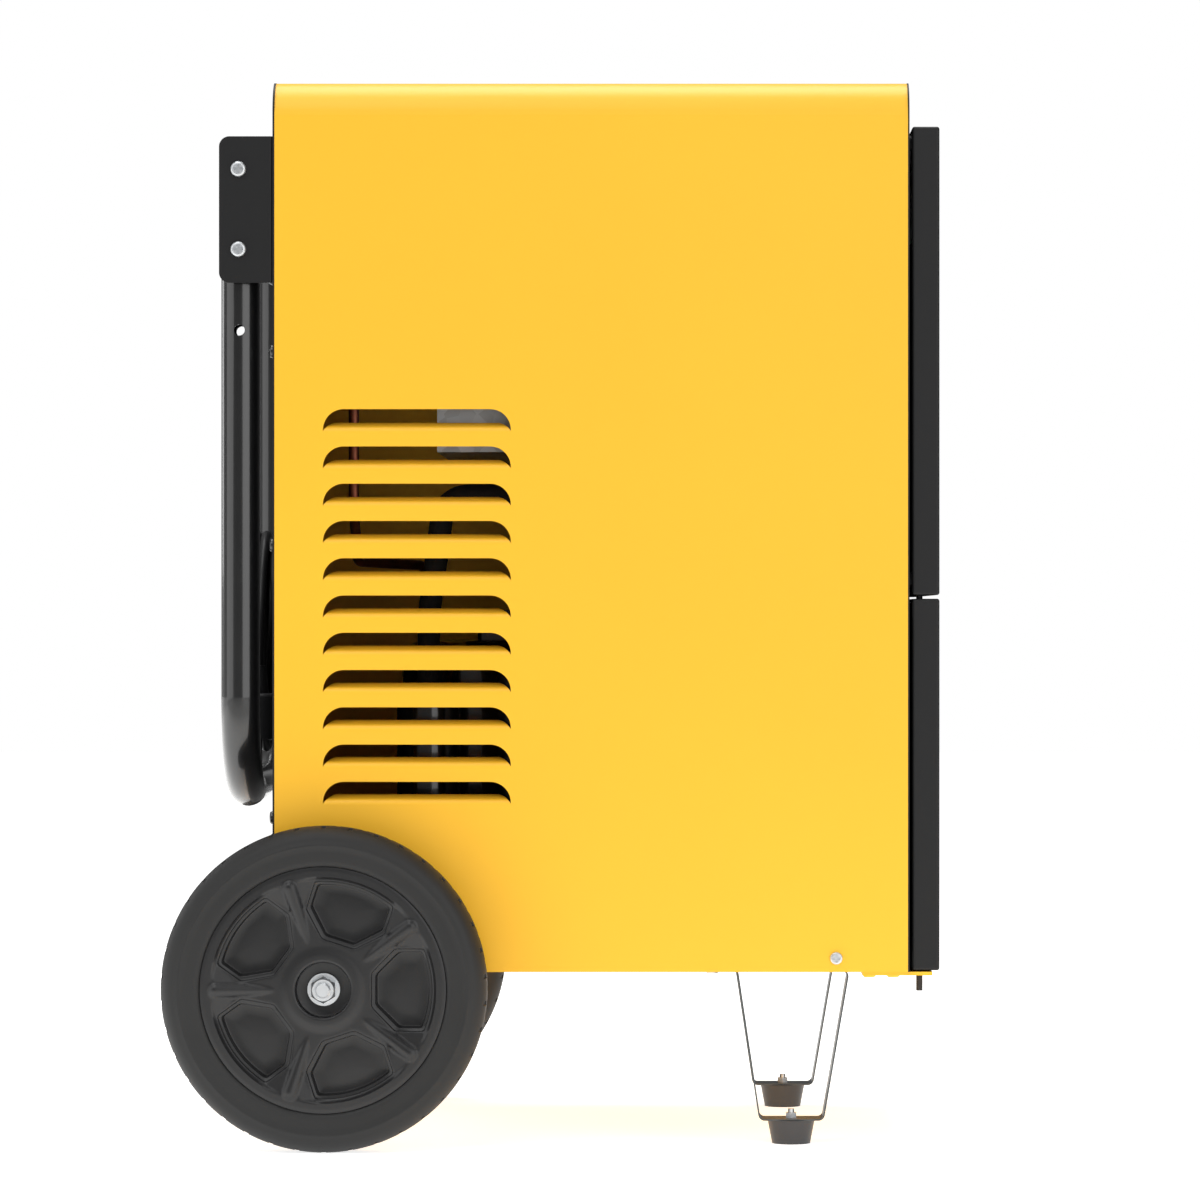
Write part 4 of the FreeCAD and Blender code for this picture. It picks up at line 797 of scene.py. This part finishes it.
class TreadSettings(bpy.types.PropertyGroup):
    blocks: bpy.props.IntProperty(
        name="Tread blocks", description="Blocks in each of a tyre's two rows", default=38, min=8,
    )
    depth: bpy.props.FloatProperty(
        name="Tread depth", description="Depth of the grooves", default=0.0016, min=0, unit="LENGTH",
    )
    gap: bpy.props.FloatProperty(
        name="Tread gap", description="Width of the grooves", default=0.0032, min=0.0005, unit="LENGTH",
    )


class StageSettings(bpy.types.PropertyGroup):
    camera_distance: bpy.props.FloatProperty(
        name="Camera distance", description="From the camera to the machine's middle plane",
        default=4.295, min=1.0, unit="LENGTH",
    )
    camera_height: bpy.props.FloatProperty(
        name="Camera height", description="Height of the lens above the floor", default=0.408, unit="LENGTH",
    )
    lens: bpy.props.FloatProperty(
        name="Lens", description="Focal length on a 36 mm sensor", default=159.0, min=20, unit="CAMERA",
    )
    floor_size: bpy.props.FloatProperty(
        name="Floor size", description="Width of the studio floor", default=24.0, min=2, unit="LENGTH",
    )


class DEHUM_OT_finishes(bpy.types.Operator):
    """Puts a real finish on every piece of the CAD frame"""
    bl_idname = "dehumidifier.finishes"
    bl_label = "Finish the Frame"

    def execute(self, context):
        FINISH.update(finishes(context.scene.dehumidifier_colours))
        for entry in frame["record"]["subparts"]:
            node = NODES[entry["node"]]
            node.data.materials.clear()
            node.data.materials.append(FINISH[OWN_FINISH.get(entry["node"], entry["material_slot"])])
        return {"FINISHED"}


class DEHUM_OT_rims(bpy.types.Operator):
    """Builds both moulded rims, with ribs and stepped pockets"""
    bl_idname = "dehumidifier.rims"
    bl_label = "Build the Rims"

    def execute(self, context):
        for side in (-1, 1):
            make_rim(Wheel(side))
        return {"FINISHED"}


class DEHUM_OT_tyres(bpy.types.Operator):
    """Builds both solid rubber tyres"""
    bl_idname = "dehumidifier.tyres"
    bl_label = "Build the Tyres"

    def execute(self, context):
        for side in (-1, 1):
            make_tyre(Wheel(side), context.scene.dehumidifier_tread)
        return {"FINISHED"}


class DEHUM_OT_cord(bpy.types.Operator):
    """Winds the mains cord on its hook"""
    bl_idname = "dehumidifier.cord"
    bl_label = "Wind the Cord"

    def execute(self, context):
        cord, exit_at = make_cord()
        return {"FINISHED"}


class DEHUM_OT_stage(bpy.types.Operator):
    """Sets up the pale floor, soft lights and camera"""
    bl_idname = "dehumidifier.stage"
    bl_label = "Build the Studio"

    def execute(self, context):
        settings = context.scene.dehumidifier_stage
        studio_floor(settings.floor_size, (*context.scene.dehumidifier_colours.floor, 1))
        studio_world(1.0, 0.2)
        area_light("key_softbox", (-1.0, -2.4, 3.2), (0, 0, 0.4), 2.2, 36)
        area_light("left_softbox", (-2.9, -1.5, 1.45), (0, 0, 0.9), 2.6, 27, 2.8)
        area_light("right_softbox", (1.9, -2.7, 1.45), (0, 0, 0.9), 3.0, 42, 2.8)
        area_light("top_softbox", (0, 0.4, 3.4), (0, 0, 0.4), 2.2, 70)
        area_light("rear_softbox", (-3.0, 1.8, 1.6), (-0.2, 0, 0.4), 1.2, 20, 2.4)
        side_camera(settings)
        context.scene.view_settings.view_transform = "Standard"
        return {"FINISHED"}


class DEHUM_PT_panel(bpy.types.Panel):
    bl_idname = "DEHUM_PT_panel"
    bl_label = "Dehumidifier"
    bl_space_type = "VIEW_3D"
    bl_region_type = "UI"
    bl_category = "Dehumidifier"

    def draw(self, context):
        layout = self.layout
        for operator in OPERATORS:
            layout.operator(operator.bl_idname)
        for attribute, group in SETTINGS.items():
            for field in group.__annotations__:
                layout.prop(getattr(context.scene, attribute), field)


SETTINGS = {
    "dehumidifier_colours": ColourSettings,
    "dehumidifier_tread": TreadSettings,
    "dehumidifier_stage": StageSettings,
}
OPERATORS = (DEHUM_OT_finishes, DEHUM_OT_rims, DEHUM_OT_tyres, DEHUM_OT_cord, DEHUM_OT_stage)
CLASSES = (*SETTINGS.values(), *OPERATORS, DEHUM_PT_panel)


def register():
    """Adds the settings, operators and panel to Blender."""
    for item in CLASSES:
        bpy.utils.register_class(item)
    for attribute, group in SETTINGS.items():
        setattr(bpy.types.Scene, attribute, bpy.props.PointerProperty(type=group))


def unregister():
    """Takes them out again."""
    for attribute in SETTINGS:
        delattr(bpy.types.Scene, attribute)
    for item in reversed(CLASSES):
        bpy.utils.unregister_class(item)


def main():
    """Builds the whole machine and its studio."""
    register()
    bpy.ops.dehumidifier.finishes()
    bpy.ops.dehumidifier.rims()
    bpy.ops.dehumidifier.tyres()
    bpy.ops.dehumidifier.cord()
    bpy.ops.dehumidifier.stage()


if __name__ == "__main__":
    main()
